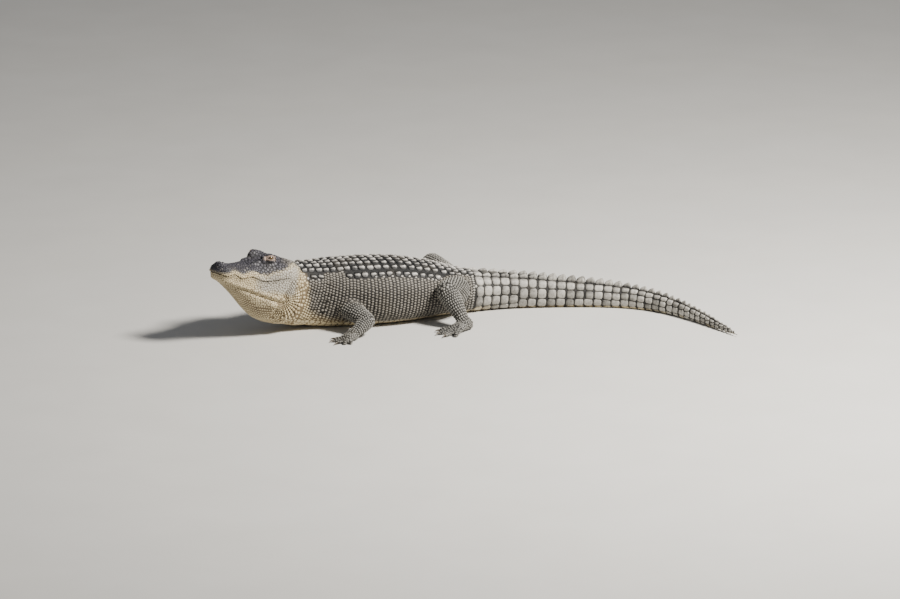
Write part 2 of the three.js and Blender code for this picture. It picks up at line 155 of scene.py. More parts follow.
# Half thickness of a leg's upper and lower length: share of the length, radius
LEG_SHAPE = {
    "fore": (
        np.array([[0, 50], [0.35, 47], [0.7, 40], [1, 34]], float),
        np.array([[0, 30], [0.3, 34], [0.6, 27], [1, 18]], float),
    ),
    "hind": (
        np.array([[0, 68], [0.35, 66], [0.7, 56], [1, 45]], float),
        np.array([[0, 41], [0.3, 43], [0.6, 33], [1, 23]], float),
    ),
}
# Feet: stations of the sole from the heel forward (distance, half width, half height), the toes' radius,
# each toe's degrees from the foot's heading and its length, and how many inner toes bear claws
FEET = {
    "fore": {
        "sole": np.array([
            [-24, 12, 10], [-12, 23, 20], [4, 26, 23], [30, 29, 17], [52, 33, 12], [66, 27, 8],
        ], float),
        "toe": 8.5,
        "toes": ((-58, 34), (-28, 48), (0, 54), (26, 47), (54, 36)),
        "claws": 3,
    },
    "hind": {
        "sole": np.array([
            [-32, 15, 13], [-18, 28, 26], [2, 31, 29], [38, 33, 20], [78, 37, 14], [98, 31, 9],
        ], float),
        "toe": 10.5,
        "toes": ((-30, 58), (-9, 80), (11, 86), (32, 68)),
        "claws": 3,
    },
}
SOLE_MIDDLE = 0.92
KNUCKLE = {"forward": 0.7, "aside": 0.75}

# The closed forms that the skin is drawn from, their stations and their sides
SPINE_STEP = 5
SPINE_START = -60
BODY_STATIONS = np.concatenate([np.arange(-20, 1000, 8), np.arange(1000, TAIL_TIP + 1, 10)]).astype(float)
BODY_SIDES = 96
UPPER_STATIONS = np.concatenate([[0.3, 1.5, 3, 5, 8, 11, 15, 20, 26], np.arange(32, HEAD_BACK + 24, 6)])
UPPER_POINTS = 49
LOWER_STATIONS = np.concatenate([[9, 11, 14, 18, 23], np.arange(30, HEAD_BACK + 1, 6)]).astype(float)
LOWER_POINTS = 30
LIP_OVERLAP = 2
# Lumps of the head: its place in the head's frame (from the tip, aside, up) and its half axes
BROWS = (
    (247, 42, 80, 40, 22, 26),
    (284, 44, 73, 60, 20, 23),
    (212, 34, 54, 48, 15, 17),
    (262, 46, 78, 44, 21, 25),
)
NOSE_PAD = (27, 0, 35, 22, 27, 11)
LEG_STATIONS = np.linspace(0, 1, 12)
LEG_ENDS = np.radians([85, 65, 45, 22])
LEG_SIDES = 32
LEG_FLOOR = 1.0
FOOT_STATIONS = 16
FOOT_SIDES = 20
FOOT_FLOOR = 0.8
# A toe: share of its length, then half width, middle and half height as shares of its radius
TOE_SHAPE = (
    (0.3, 1, 1.25, 1.1),
    (0.45, 0.86, 1.05, 1),
    (0.6, 1, 1.1, 1.05),
    (0.85, 0.86, 0.95, 0.95),
    (1, 0.55, 0.8, 0.6),
)
TOE_ROOT = 0.8  # of the sole's height
WEB_REACH = 0.62  # of the shorter of two toes
# A web between two toes: share of its reach, share of its spread, least half width, middle, half height
WEB_SHAPE = ((0, 0, 8, 8, 6), (0.5, 0.7, 0, 6, 4), (1, 1, 0, 5, 3.5))

# The skin's mesh
FLOOR_CLEARANCE = 2.5  # of the skin, which the belly's scales fill
VOXEL = 4.6
SMOOTHING_ROUNDS = 16
SMOOTHING = {"least": 0.12, "joint": 0.5, "nape": 0.5, "most": 0.6}
HEAD_REGION = ("t", HEAD_BACK + 30, HEAD_BACK - 30)
NAPE_REGION = ("nape", 45, 10)
JOINT_REGION = (("leg_gap", 26, 4), ("leg_off", 40, 15))
FOOT_REGION = ("feet", 12, 0)
FOOT_ROUNDS = 2
FOOT_PULL = 0.3
SETTLE = 0.5  # of the way to the middle of a point's neighbours
FIRM_FEET = 0.45
# The region round lips, nostrils and eyes where the mesh is finest
FINE = {
    "mouth": 8, "mouth_end": 336, "pad_long": 13, "pad_half": 24, "pad_floor": 18, "eye": 31, "eye_back": -6,
}
PLAIN_SHARE = 0.30  # faces kept where the skin is plain
EYE_FORWARD = 0.24
EYE_ASIDE = 0.88
EYE_UPWARD = 0.3
LID_OPENING = (0.90, 0.46, 0.42)  # half length, height above and below, as shares of the eye's radius
LID_ROUNDNESS = (2.2, 1.7)
LID_THICKNESS = 1.9
LID_PRESS = 0.3  # the lids' edge lies this much nearer to the eye
LID_FOLDS = {"height": 0.9, "turns": 11, "lower": 1.0, "upper": 0.5}
EYE_POCKET = 4.5  # depth of the skin behind the eye's front
JAW_CORNER = (308, -72)  # where the folds of the neck meet: from the tip, up
FAN_STEP = 0.152  # radians between two folds
NOSTRIL = {"at": 24, "aside": 11, "splay": 0.25, "long": 5.0, "wide": 3.2}
EYE_RIDGE = np.array([[60, 16], [120, 24], [222, 43]], float)  # from the tip, aside
SKULL_EDGE = {"at": 285, "aside": 52, "splay": 0.12}
EAR = {"at": 300, "up": 77, "rise": 0.05}

# Relief in millimetres: height, bells (measure, centre, width), bands (measure, nothing at, whole at)
MOUTH = (("t", 334, 314), ("slope", 0.8, 0.55))
TOP = ("level", 0.2, 0.55)
SKULL_TABLE = (TOP, ("t", 272, 284), ("t", 356, 346))
GUMS = (*MOUTH, ("gap", 34, 14), ("gap", -2, 4))
JAW_EDGE = (("t", 30, 70), ("t", 345, 310), ("jaw_share", 0.35, 0.6))
CHEEK_SIDE = (("aside", 80, 96),)
LIPS = (
    (1.6, [("gap", 6, 3.6)], MOUTH),
    (1.0, [("gap", -6, 3.6)], MOUTH),
)
TOOTH_STEP = 12
TOOTH_SWELL = 0.3
HEAD_RELIEF = (
    # the slit of the mouth
    (-4.6, [("gap", 0, 1.9)], MOUTH),
    # the nostrils and their rims
    (-6.0, [("pit", 0, 1)], [TOP]),
    (1.8, [("pit", 2.0, 0.6)], [TOP]),
    # a ridge from each eye towards the nostrils, a low one between them, and the hollows beside them
    (2.4, [("ridge", 0, 5.5)], [TOP, ("t", 70, 120), ("t", 236, 205)]),
    (1.6, [("side", 0, 9)], [TOP, ("t", 50, 80), ("t", 220, 180)]),
    (-5.0, [("side", 0, 13), ("t", 243, 34)], [TOP]),
    (-2.0, [("aside", 36, 9)], [TOP, ("t", 90, 120), ("t", 215, 190)]),
    # the skull table and its edge
    (2.6, [("edge", 0, 4.5)], SKULL_TABLE),
    (-2.2, [], [*SKULL_TABLE, ("edge", -8, -30)]),
    # the ear slit and the flap below it
    (-4.4, [("ear", 0, 2.6)], [("t", 278, 288), ("t", 334, 322), ("edge", -6, 2)]),
    (1.8, [("up", 71, 3.2)], [("t", 278, 290), ("t", 334, 320), ("edge", -6, 2)]),
    # swellings over the large teeth, and the narrower place between them
    (2.6, [("t", 104, 17)], GUMS),
    (2.0, [("t", 32, 14)], GUMS),
    (-2.2, [("t", 64, 12)], GUMS),
    # the jaw's lower edge over the crease of the throat
    (2.8, [("rim", 7, 6)], JAW_EDGE),
    (-7.5, [("rim", -7, 6.5)], JAW_EDGE),
    # loose skin under the jaw's corner
    (5.0, [("t", 278, 17), ("up", -104, 11)], [("aside", 50, 70)]),
    # the hinge of the jaw and the hollow before it
    (3.0, [("t", 338, 22), ("up", 12, 20)], CHEEK_SIDE),
    (-2.4, [("t", 322, 9), ("up", 18, 10)], CHEEK_SIDE),
)
ROUGH_BONE = ((0.8, 16, 11), (0.5, 8, 12))  # height, scale, seed
ROUGH_PLACES = ((1, [], [("level", -0.2, 0.5)]), (1, [], [("level", -0.2, 0.5), ("t", 190, 60)]))
ON_HEAD = ("t", HEAD_BACK + 10, HEAD_BACK - 16)
FAN_RELIEF = (
    (3.1, [], [
        ("fan_far", 14, 34), ("fan_far", 128, 96), ("aside", 40, 66),
        ("fan_turn", -1.75, -1.45), ("fan_turn", 1.25, 0.9),
    ]),
)
NECK_RINGS = ((1.5, [], [("s", 70, 110), ("s", 235, 190), ("around", 0.8, 1.3), ("off", 24, 8)]),)
NECK_RING_STEP = 25
NECK_RING_SWAY = (8, 70, 5)  # distance, scale, seed
SHOULDER_CREASE = ((-5, [("s", 196, 10)], [("around", 1.0, 1.5), ("around", 2.6, 2.2), ("off", 24, 8)]),)

# Where each part of the hide begins and ends, read along the spine or the head
SCUTE_ARCS = (0.5, 1.48, 2.5, 3.66)  # each row's distance from the middle of the back, in spacings
SCUTE_START = 70
SCUTE_SPACING = np.array([
    [60, 29], [150, 31], [235, 34], [400, 38], [600, 38], [700, 35], [800, 30], [900, 26],
], float)
SCUTES_ACROSS = np.array([
    [60, 5], [78, 8], [142, 8], [166, 6], [260, 6], [300, 8],
    [690, 8], [730, 6], [800, 6], [840, 4], [900, 4],
], float)
SCUTE_MARGIN = 0.46  # spacings beyond the outermost row
CREAM_EDGE = np.array([
    [-60, 0.45], [48, 0.55], [72, 1.0], [95, 1.65], [125, 2.0], [220, 2.2], [400, 2.42],
    [900, 2.42], [1200, 2.6], [2220, 2.8],
], float)
DUSK_LINE = np.array([[0, 6], [30, 15], [60, 20], [150, 25], [250, 36], [310, 46], [376, 60]], float)
SWAY = {"scale": 34, "seed": 21, "line": 5, "cream": 0.1, "cheek": 8, "jaw": 24, "nape": 16}
FLANK_END = 2.32  # angle from the middle of the back
BELLY_START = 2.36
ARC_PLACES = np.linspace(0, TAIL_TIP, 112)
ARC_ANGLES = np.linspace(0, np.pi, 91)

# Markings: the product of bands (measure, nothing at, whole at); those of the body stop at the legs
HEAD_MARK = ("t", HEAD_BACK + 14, HEAD_BACK - 18)
LEG_MARK = ("off", 6, 24)
HEAD_MARKS = {
    "cream": [("above_line", 6, -6)],
    "dusk": [("above_line", -6, 6)],
    "cheek": [("above_line", 4, -16), ("cheek_up", -66, -34), ("jaw_back", 140, 235)],
}
BODY_MARKS = {
    "cream": [("past_cream", -0.16, 0.2)],
    "back": [("past_scutes", 6, -8), ("s", VENT + 40, VENT - 10)],
    "tail": [("s", VENT - 60, VENT + 20)],
    "crown": [("around", 0.36, 0.27), ("s", VENT - 20, VENT + 40), ("s", 1480, 1400)],
}
NAPE_FADE = (0.55, 280, 350)  # how much paler the crown gets towards the nape, from where to where
MOUTH_SHADE = ((1, [("gap", 0, 2.2)], [("t", 332, 318)]),)
LID_MARK = ((2.6, 1.5), (30, 24))  # bands of the distance outside the opening, and from the eye's centre

# Pieces of scales
GROUPS = (
    "back_scutes", "tail_scales", "crests", "flank_scales", "belly_scales", "neck_scales",
    "head_scales", "leg_scales", "foot_scales",
)
NUMBERS = ("long", "wide", "square", "height", "keel", "tilt")
BODY_REACH = 12  # how far the skin may lie from a place on the body's own shape
ASIDE_OF_HEAD = 260  # where the rays towards the folds start
BELOW_HEAD = 420  # where the rays towards the throat start
HEAD_SCALES_END = HEAD_BACK + 6
OUTLINE_SIDES = 16
NEIGHBOURS = 10
FACING = 0.12  # a neighbour limits the outline only in its own direction
LEAST_REACH = 0.8
CROWDED = 0.72  # of two scales' mean sizes, where the later one is left out
CROWDED_REACH = 2.4
BEND_LIMITS = (-0.02, 0.06)
SINK = 1.2  # how far a scale's foot lies in the skin
LOWEST = 0.4
KEEL_PEAK = 0.45  # place of a keel's top, as a share of the scale's half length
KEEL_WIDTH = 0.42
KEEL_FULLNESS = 0.8
CREST_FULLNESS = 0.5
CREST_CROWN = 0.25  # of the dark of the tail's top
TILT = 0.35
KEEL_SHADE = 0.6
PATCH = 0.003  # size of one scale's patch on the unwrap
# Rings of a scale from the rim inwards: share of the outline, share of the height
BIG = ((1.0, 0.0), (0.94, 0.75), (0.72, 0.95), (0.4, 1.0))
SMALL = ((1.0, 0.0), (0.84, 0.72), (0.5, 0.96))
FLAT = ((1.0, 0.0), (0.9, 0.8), (0.55, 1.0))
# The unwrap: left, width, bottom, height of each patch
BODY_PATCH = (0.02, 0.96, 0.40, 0.58)
HEAD_PATCH = (0.02, 0.44, 0.02, 0.34)
FOOT_PATCH = (0.50, 0.115, 0.20, 0.16)
LEG_PATCHES = ((0.50, 0.115, 0.02, 0.08), (0.50, 0.115, 0.12, 0.08))
LEG_PATCH_STEP = 0.12

# Eyes, claws and stage
EYE_SIDES = 64
EYE_SETBACK = 0.9
CORNEA = 0.045
CLAW_STATIONS = np.linspace(0, 1, 12)
CLAW_SIDES = 14
CLAW_BED = 3  # how far a claw begins before the toe's end
CLAW_FLOOR = 0.5
HIDE = "painted_hide"
AIM_ABOVE_HIPS = 0.0441
FLOOR_HALF = 90
KEY_DISTANCE = 6


def read(rows, at, column=1):
    """A smooth curve through the rows of a table, read at any places."""
    x = rows[:, 0]
    y = rows[:, column]
    slope = np.gradient(y, x)
    slope[1:-1] = (y[2:] - y[:-2]) / (x[2:] - x[:-2])
    at = np.clip(at, x[0], x[-1])
    i = np.clip(np.searchsorted(x, at, side="right") - 1, 0, len(x) - 2)
    span = x[i + 1] - x[i]
    t = (at - x[i]) / span
    rise = y[i + 1] - y[i]
    start = slope[i] * span
    end = slope[i + 1] * span
    return y[i] + start * t + (3 * rise - 2 * start - end) * t**2 + (start + end - 2 * rise) * t**3


def power(value, exponent):
    return np.sign(value) * np.abs(value) ** exponent


def between(low, high, value):
    """0 below low, 1 above high, and smooth in between; low may be the larger."""
    t = np.clip((np.asarray(value, float) - low) / (high - low), 0, 1)
    return t * t * (3 - 2 * t)


def bell(value, centre, width):
    """1 at the centre, and falling smoothly on both sides."""
    return np.exp(-(((value - centre) / width) ** 2))


def unit(vectors):
    return vectors / np.maximum(np.linalg.norm(vectors, axis=-1, keepdims=True), 1e-9)


def along_rows(rows, directions):
    """The part of each row that lies along its direction."""
    return (rows * directions).sum(1)


def placed(points):
    """Points in the spine's millimetres, as places in the row frame in metres."""
    return (points - ORIGIN) * MM


def size(name):
    """A size that the user may change, in millimetres."""
    return round(getattr(bpy.context.scene.alligator_sizes, name) / MM, 3)


def wave(points, scale, seed):
    """Smooth bumps between -1 and 1, the same each run."""
    turns = np.random.default_rng(seed).normal(size=(6, 3))
    phases = np.random.default_rng(seed + 1).uniform(0, 2 * np.pi, 6)
    return sum(np.sin(points @ (turn / scale * 2.2) + phase) for turn, phase in zip(turns, phases)) / 6


def walk_spine():
    """The spine, walked on the level from a little in front of the neck to the tail's tip."""
    s = np.arange(SPINE_START, TAIL_TIP + SPINE_STEP, SPINE_STEP, dtype=float)
    middle = s[:-1] + SPINE_STEP / 2
    turn = np.radians(read(HEADING, middle))
    fall = (read(BODY, s[1:]) - read(BODY, s[:-1])) / SPINE_STEP
    fall[middle < NECK_FRONT] = read(BODY, NECK_FRONT + 1.0) - read(BODY, NECK_FRONT)
    level = SPINE_STEP * np.sqrt(1 - fall**2)
    x, y, z = (np.concatenate([[0], np.cumsum(step)])
               for step in (level * np.cos(turn), level * np.sin(turn), fall * SPINE_STEP))
    home = int((SHOULDERS - SPINE_START) / SPINE_STEP)
    return s, x - x[home] + SHOULDERS, y - y[home], z - z[home] + read(BODY, SHOULDERS)


SPINE = walk_spine()
SPINE_SPAN = 4  # half of the length that gives the spine's direction


def spine(s):
    """The spine's places and directions: back along the body, to the animal's left, and up."""
    s = np.asarray(s, float)
    places = SPINE[0]
    ahead = np.clip(s + SPINE_SPAN, SPINE_START, TAIL_TIP)
    behind = np.clip(s - SPINE_SPAN, SPINE_START, TAIL_TIP)
    at = np.stack([np.interp(s, places, c) for c in SPINE[1:]], -1)
    back = np.stack([np.interp(ahead, places, c) - np.interp(behind, places, c) for c in SPINE[1:]], -1)
    back = unit(back)
    left = unit(np.stack([back[..., 1], -back[..., 0], np.zeros_like(s)], -1))
    return at, back, left, np.cross(left, back)


def body_point(s, angle, inset=0.0, floor=0.0):
    """Points on neck, trunk or tail at an angle from the middle of the back, positive to the left."""
    s, angle = np.broadcast_arrays(np.asarray(s, float), np.asarray(angle, float))
    at, _, left, up = spine(s)
    half, back, belly = (read(BODY, s, column) - inset for column in (2, 3, 4))
    above = np.cos(angle) > 0
    exponent = np.where(above, 2 / BACK_ROUNDNESS, 2 / BELLY_ROUNDNESS)
    side = half * power(np.sin(angle), exponent)
    rise = np.where(above, back, belly) * power(np.cos(angle), exponent)
    points = at + left * side[..., None] + up * rise[..., None]
    points[..., 2] = np.maximum(points[..., 2], floor)
    return points


BATCH = 20000  # points compared with the spine at a time


def body_place(points):
    """Where points lie on the body: along the spine, round from the back, and off its surface."""
    places, x, y, _ = SPINE
    nearest = np.empty(len(points))
    for first in range(0, len(points), BATCH):
        part = points[first:first + BATCH]
        off = (part[:, None, 0] - x) ** 2 + (part[:, None, 1] - y) ** 2
        nearest[first:first + BATCH] = places[np.argmin(off, axis=1)]
    for _ in range(2):
        at, back, _, _ = spine(nearest)
        nearest = np.clip(nearest + along_rows(points - at, back), SPINE_START, TAIL_TIP)
    at, _, left, up = spine(nearest)
    side = along_rows(points - at, left)
    rise = along_rows(points - at, up)
    half = read(BODY, nearest, 2)
    tall = np.where(rise > 0, read(BODY, nearest, 3), read(BODY, nearest, 4))
    n = np.where(rise > 0, BACK_ROUNDNESS, BELLY_ROUNDNESS)
    across = np.abs(side / half) ** (n / 2)
    upward = np.abs(rise / tall) ** (n / 2)
    angle = np.arctan2(np.sign(side) * across, np.sign(rise) * upward)
    ratio = np.maximum((across**2 + upward**2) ** (1 / n), 1e-3)
    return nearest, angle, np.hypot(side, rise) * (1 - 1 / ratio)


def head_axes():
    yaw, pitch = np.radians([HEAD_YAW, HEAD_PITCH])
    forward = np.array([-np.cos(yaw) * np.cos(pitch), -np.sin(yaw) * np.cos(pitch), np.sin(pitch)])
    left = np.array([np.sin(yaw), -np.cos(yaw), 0])
    return forward, left, np.cross(forward, left)


AHEAD, HEAD_LEFT, HEAD_UP = head_axes()


def head_point(from_tip, left, up):
    """Points in the head's frame: back from the snout tip, to the left, and up from the mouth."""
    from_tip, left, up = np.broadcast_arrays(*(np.asarray(v, float) for v in (from_tip, left, up)))
    back = (HEAD_LENGTH - from_tip)[..., None] * AHEAD
    return SKULL_BASE + back + left[..., None] * HEAD_LEFT + up[..., None] * HEAD_UP


def head_place(points):
    """The head's own coordinates of points."""
    off = points - SKULL_BASE
    return HEAD_LENGTH - off @ AHEAD, off @ HEAD_LEFT, off @ HEAD_UP


def jaw_half(t):
    """Half width of the lower jaw at its lip."""
    return np.maximum(read(UPPER_JAW, t - CHIN_SETBACK) - JAW_OVERLAP, NARROWEST_JAW) - size("head_coat")


def leg_lengths(leg):
    """The upper and the lower length of a leg: start, end, and radii along it."""
    upper, lower = LEG_SHAPE[leg["kind"]]
    return (leg["root"], leg["bend"], upper), (leg["bend"], leg["end"], lower)


def length_axes(start, end):
    """The direction and distance from start to end, and two directions across it."""
    axis = end - start
    length = np.linalg.norm(axis)
    axis = axis / length
    across = unit(np.cross([0, 0, 1.0], axis))
    return axis, length, across, np.cross(axis, across)


def foot_axes(leg):
    """A foot's forward and outer directions."""
    heading = np.radians(leg["side"] * leg["outward"])
    forward = np.array([-np.cos(heading), np.sin(heading), 0])
    return forward, np.array([-forward[1], forward[0], 0]) * -leg["side"]


def toe_line(leg, k):
    """A toe's knuckle, its direction and its length."""
    foot = FEET[leg["kind"]]
    forward, outer = foot_axes(leg)
    angle, length = foot["toes"][k]
    ball, width, _ = foot["sole"][-2]
    aside = (angle / foot["toes"][-1][0]) * (width - foot["toe"]) * KNUCKLE["aside"]
    knuckle = leg["end"] * [1, 1, 0] + forward * ball * KNUCKLE["forward"] + outer * aside
    turned = np.radians(leg["side"] * (leg["outward"] + angle))
    return knuckle, np.array([-np.cos(turned), np.sin(turned), 0]), length


def leg_distance(points, leg):
    """Distance of points off a leg's two lengths."""
    best = np.full(len(points), np.inf)
    for start, end, radii in leg_lengths(leg):
        axis = end - start
        share = np.clip((points - start) @ axis / (axis @ axis), 0, 1)
        off = np.linalg.norm(points - start - share[:, None] * axis, axis=1)
        best = np.minimum(best, off - read(radii, share))
    return best


FOOT_HEEL = -20
FOOT_HALF = 62
FOOT_TOP = 45


def foot_distance(points, leg):
    """Rough distance of points off a foot."""
    foot = FEET[leg["kind"]]
    forward, outer = foot_axes(leg)
    off = points - leg["end"] * [1, 1, 0]
    reach = foot["sole"][-1][0] + max(length for _, length in foot["toes"])
    along = np.clip(off @ forward, FOOT_HEEL, reach)
    away = off - along[:, None] * forward
    aside = np.maximum(np.abs(away @ outer) - FOOT_HALF, 0)
    above = np.maximum(points[:, 2] - FOOT_TOP, 0)
    return np.hypot(aside, above) + np.abs(off @ forward - along)


def nostril_distance(at):
    """Distance from the nearer nostril's middle, in its own half lengths."""
    ahead = at["t"] - NOSTRIL["at"]
    aside = at["aside"] - NOSTRIL["aside"] - NOSTRIL["splay"] * ahead
    return np.hypot(ahead / NOSTRIL["long"], aside / NOSTRIL["wide"])


def dusk_line(at):
    """Height of the line between the snout's dark top and its cream side."""
    return read(MOUTH_LINE, at["t"]) + np.interp(at["t"], *DUSK_LINE.T) + SWAY["line"] * at["sway"]


# What can be read off points
MEASURES = {
    "body": lambda at: body_place(at.points),
    "s": lambda at: at["body"][0],
    "angle": lambda at: at["body"][1],
    "around": lambda at: np.abs(at["angle"]),
    "off": lambda at: at["body"][2],
    "legs": lambda at: np.min([leg_distance(at.points, leg) for leg in LEGS], axis=0),
    "feet": lambda at: np.min([foot_distance(at.points, leg) for leg in LEGS], axis=0),
    "leg_off": lambda at: np.abs(at["legs"]),
    "leg_gap": lambda at: np.abs(at["legs"] - at["off"]),
    "head": lambda at: head_place(at.points),
    "t": lambda at: at["head"][0],
    "nape": lambda at: np.abs(at["t"] - HEAD_BACK),
    "side": lambda at: at["head"][1],
    "aside": lambda at: np.abs(at["side"]),
    "up": lambda at: at["head"][2],
    "level": lambda at: at.normals @ HEAD_UP,
    "slope": lambda at: np.abs(at["level"]),
    "gap": lambda at: at["up"] - read(MOUTH_LINE, at["t"]) - 1,
    "pit": nostril_distance,
    "ridge": lambda at: at["aside"] - np.interp(at["t"], *EYE_RIDGE.T),
    "edge": lambda at: at["aside"] - SKULL_EDGE["aside"] - SKULL_EDGE["splay"] * (at["t"] - SKULL_EDGE["at"]),
    "ear": lambda at: at["up"] - EAR["up"] - EAR["rise"] * (at["t"] - EAR["at"]),
    "rim": lambda at: at["up"] + read(LOWER_JAW, at["t"], 1),
    "jaw_share": lambda at: at["aside"] / jaw_half(at["t"]),
    "fan_far": lambda at: np.hypot(at["t"] - JAW_CORNER[0], at["up"] - JAW_CORNER[1]),
    "fan_turn": lambda at: np.arctan2(at["up"] - JAW_CORNER[1], at["t"] - JAW_CORNER[0]),
    "sway": lambda at: wave(at.points, SWAY["scale"], SWAY["seed"]),
    "above_line": lambda at: at["up"] - dusk_line(at),
    "cheek_up": lambda at: at["up"] + SWAY["cheek"] * at["sway"],
    "jaw_back": lambda at: at["t"] + SWAY["jaw"] * at["sway"],
    "past_cream": lambda at: at["around"] + SWAY["cream"] * at["sway"] - np.interp(at["s"], *CREAM_EDGE.T),
    "past_scutes": lambda at: arc_length(np.maximum(at["s"], 0), at["angle"]) - scute_edge(at["s"]),
}


class Places:
    """Points and what is read off them, each measure when it is first asked for."""

    def __init__(self, points, normals=None):
        self.points = points
        self.normals = normals
        self.found = {}

    def __getitem__(self, name):
        if name not in self.found:
            self.found[name] = MEASURES[name](self)
        return self.found[name]

    def band(self, name, nothing, whole):
        return between(nothing, whole, self[name])

    def bands(self, rows):
        """The product of bands."""
        return functools.reduce(lambda product, row: product * self.band(*row), rows, 1.0)

    def shaped(self, rows):
        """The sum of a table's rows: each a height, times its bells, times its bands."""
        total = 0.0
        for height, bells, bands in rows:
            for name, centre, width in bells:
                height = height * bell(self[name], centre, width)
            total = total + height * self.bands(bands)
        return total


def loft(rings):
    """Points and faces of a closed body through rings of points, with a cap at each end."""
    count = rings.shape[1]
    points = np.concatenate([rings.reshape(-1, 3), rings[:1].mean(1), rings[-1:].mean(1)])
    front = len(points) - 2
    rear = len(points) - 1
    last = (len(rings) - 1) * count
    faces = []
    for first in range(0, last, count):
        for k in range(count):
            a = first + k
            b = first + (k + 1) % count
            faces.append((a, b, b + count, a + count))
    for k in range(count):
        faces.append(((k + 1) % count, k, front))
        faces.append((last + k, last + (k + 1) % count, rear))
    return points, faces


def ellipsoid(centre, axes, steps=20):
    """A closed ellipsoid; axes is three rows, each a half axis."""
    across = np.linspace(0, np.pi, steps)[1:-1]
    around = np.linspace(0, 2 * np.pi, 2 * steps, endpoint=False)
    a, b = np.meshgrid(across, around, indexing="ij")
    shape = np.stack([np.cos(a), np.sin(a) * np.cos(b), np.sin(a) * np.sin(b)], -1)
    return loft(centre + shape @ np.asarray(axes))


def joined(parts):
    points = []
    faces = []
    count = 0
    for part_points, part_faces in parts:
        points.append(part_points)
        faces += [tuple(k + count for k in face) for face in part_faces]
        count += len(part_points)
    return np.concatenate(points), faces


def body_form():
    angles = np.linspace(0, 2 * np.pi, BODY_SIDES, endpoint=False)
    return loft(body_point(BODY_STATIONS[:, None], angles[None, :], size("body_coat"), FLOOR_CLEARANCE))


def upper_jaw_form():
    t = UPPER_STATIONS[:, None]
    a = np.linspace(0, np.pi, UPPER_POINTS)[None, :]
    half, top, around, over = (read(UPPER_JAW, t, column) for column in (1, 2, 3, 4))
    mouth = read(MOUTH_LINE, t)
    across = (half - size("head_coat")) * power(np.cos(a), around)
    up = mouth + (top - size("head_coat") - mouth) * np.abs(np.sin(a)) ** over
    return loft(head_point(t + 0 * a, across, up))


def lower_jaw_form():
    """Rings from lip to lip under the throat: share is 0 at the lip, 1 at the jaw's edge, 2 in the middle."""
    t = LOWER_STATIONS[:, None]
    share = np.linspace(0, 2, LOWER_POINTS)[None, :]
    depth = read(LOWER_JAW, t, 1)
    hang = read(LOWER_JAW, t, 2)
    mouth = read(MOUTH_LINE, t) + LIP_OVERLAP
    side = np.clip(share, 0, 1)
    under = np.clip(share - 1, 0, 1) * np.pi / 2
    jaw = 1 - JAW_TAPER * side**2
    throat = (1 - JAW_TAPER) * np.abs(np.cos(under)) ** THROAT_ROUNDNESS
    across = jaw_half(t) * np.where(share < 1, jaw, throat)
    up = mouth - (mouth + depth) * side - hang * np.sin(under) ** THROAT_ROUNDNESS
    across = np.concatenate([across, -across[:, -2::-1]], 1)
    up = np.concatenate([up, up[:, -2::-1]], 1)
    return loft(head_point(t + 0 * across, across, up))


def head_lump_forms():
    lumps = [(side, *brow) for side in (1, -1) for brow in BROWS]
    forms = []
    for side, t, left, up, long, wide, tall in [*lumps, (1, *NOSE_PAD)]:
        axes = [AHEAD * long, HEAD_LEFT * wide, HEAD_UP * tall]
        forms.append(ellipsoid(head_point(t, side * left, up), axes))
    return forms


def leg_length_form(start, end, radii):
    """A straight length of leg with rounded ends."""
    axis, length, across, up = length_axes(start, end)
    inset = size("leg_coat")
    first = read(radii, 0.0) - inset
    last = read(radii, 1.0) - inset
    rows = [(-first * np.sin(a), first * np.cos(a)) for a in LEG_ENDS]
    rows += [(share * length, read(radii, share) - inset) for share in LEG_STATIONS]
    rows += [(length + last * np.sin(a), last * np.cos(a)) for a in LEG_ENDS[::-1]]
    around = np.linspace(0, 2 * np.pi, LEG_SIDES, endpoint=False)
    circle = np.cos(around)[:, None] * across + np.sin(around)[:, None] * up
    rings = np.array([start + axis * far + circle * radius for far, radius in rows])
    rings[..., 2] = np.maximum(rings[..., 2], LEG_FLOOR)
    return loft(rings)


def level_form(start, along, rows):
    """Rings on the floor: distance along, half width, height of the middle, half height."""
    across = np.array([-along[1], along[0], 0])
    a = np.linspace(0, 2 * np.pi, FOOT_SIDES, endpoint=False)
    rings = []
    for far, half, middle, tall in rows:
        ring = start + along * far + np.outer(np.cos(a) * half, across)
        ring[:, 2] = np.maximum(middle + tall * np.sin(a), FOOT_FLOOR)
        rings.append(ring)
    return loft(np.array(rings))


def web_form(toe, next_toe):
    """The web between two toes, each given by its knuckle, direction and length."""
    start, along, length = toe
    next_start, next_along, next_length = next_toe
    reach = WEB_REACH * min(length, next_length)
    spread = np.linalg.norm(next_along * reach + next_start - along * reach - start) / 2
    rows = [(reach * far, spread * wide + half, middle, tall) for far, wide, half, middle, tall in WEB_SHAPE]
    return level_form((start + next_start) / 2, unit(along + next_along), rows)


def foot_forms(leg):
    foot = FEET[leg["kind"]]
    sole = foot["sole"]
    far = np.linspace(sole[0, 0], sole[-1, 0], FOOT_STATIONS)
    half, tall = (read(sole, far, column) for column in (1, 2))
    forward, _ = foot_axes(leg)
    forms = [level_form(leg["end"] * [1, 1, 0], forward, list(zip(far, half, tall * SOLE_MIDDLE, tall)))]
    r = foot["toe"]
    root = sole[-2][2] * TOE_ROOT
    toes = [toe_line(leg, k) for k in range(len(foot["toes"]))]
    for k, (knuckle, along, length) in enumerate(toes):
        rows = [(length * far, r * half, r * middle, r * tall) for far, half, middle, tall in TOE_SHAPE]
        forms.append(level_form(knuckle, along, [(0, r, root, root), *rows]))
        if k and leg["kind"] == "hind":
            forms.append(web_form(toes[k - 1], toes[k]))
    return forms


def flesh_forms():
    parts = [body_form(), upper_jaw_form(), lower_jaw_form(), *head_lump_forms()]
    for leg in LEGS:
        parts += [leg_length_form(*length) for length in leg_lengths(leg)]
        parts += foot_forms(leg)
    return joined(parts)


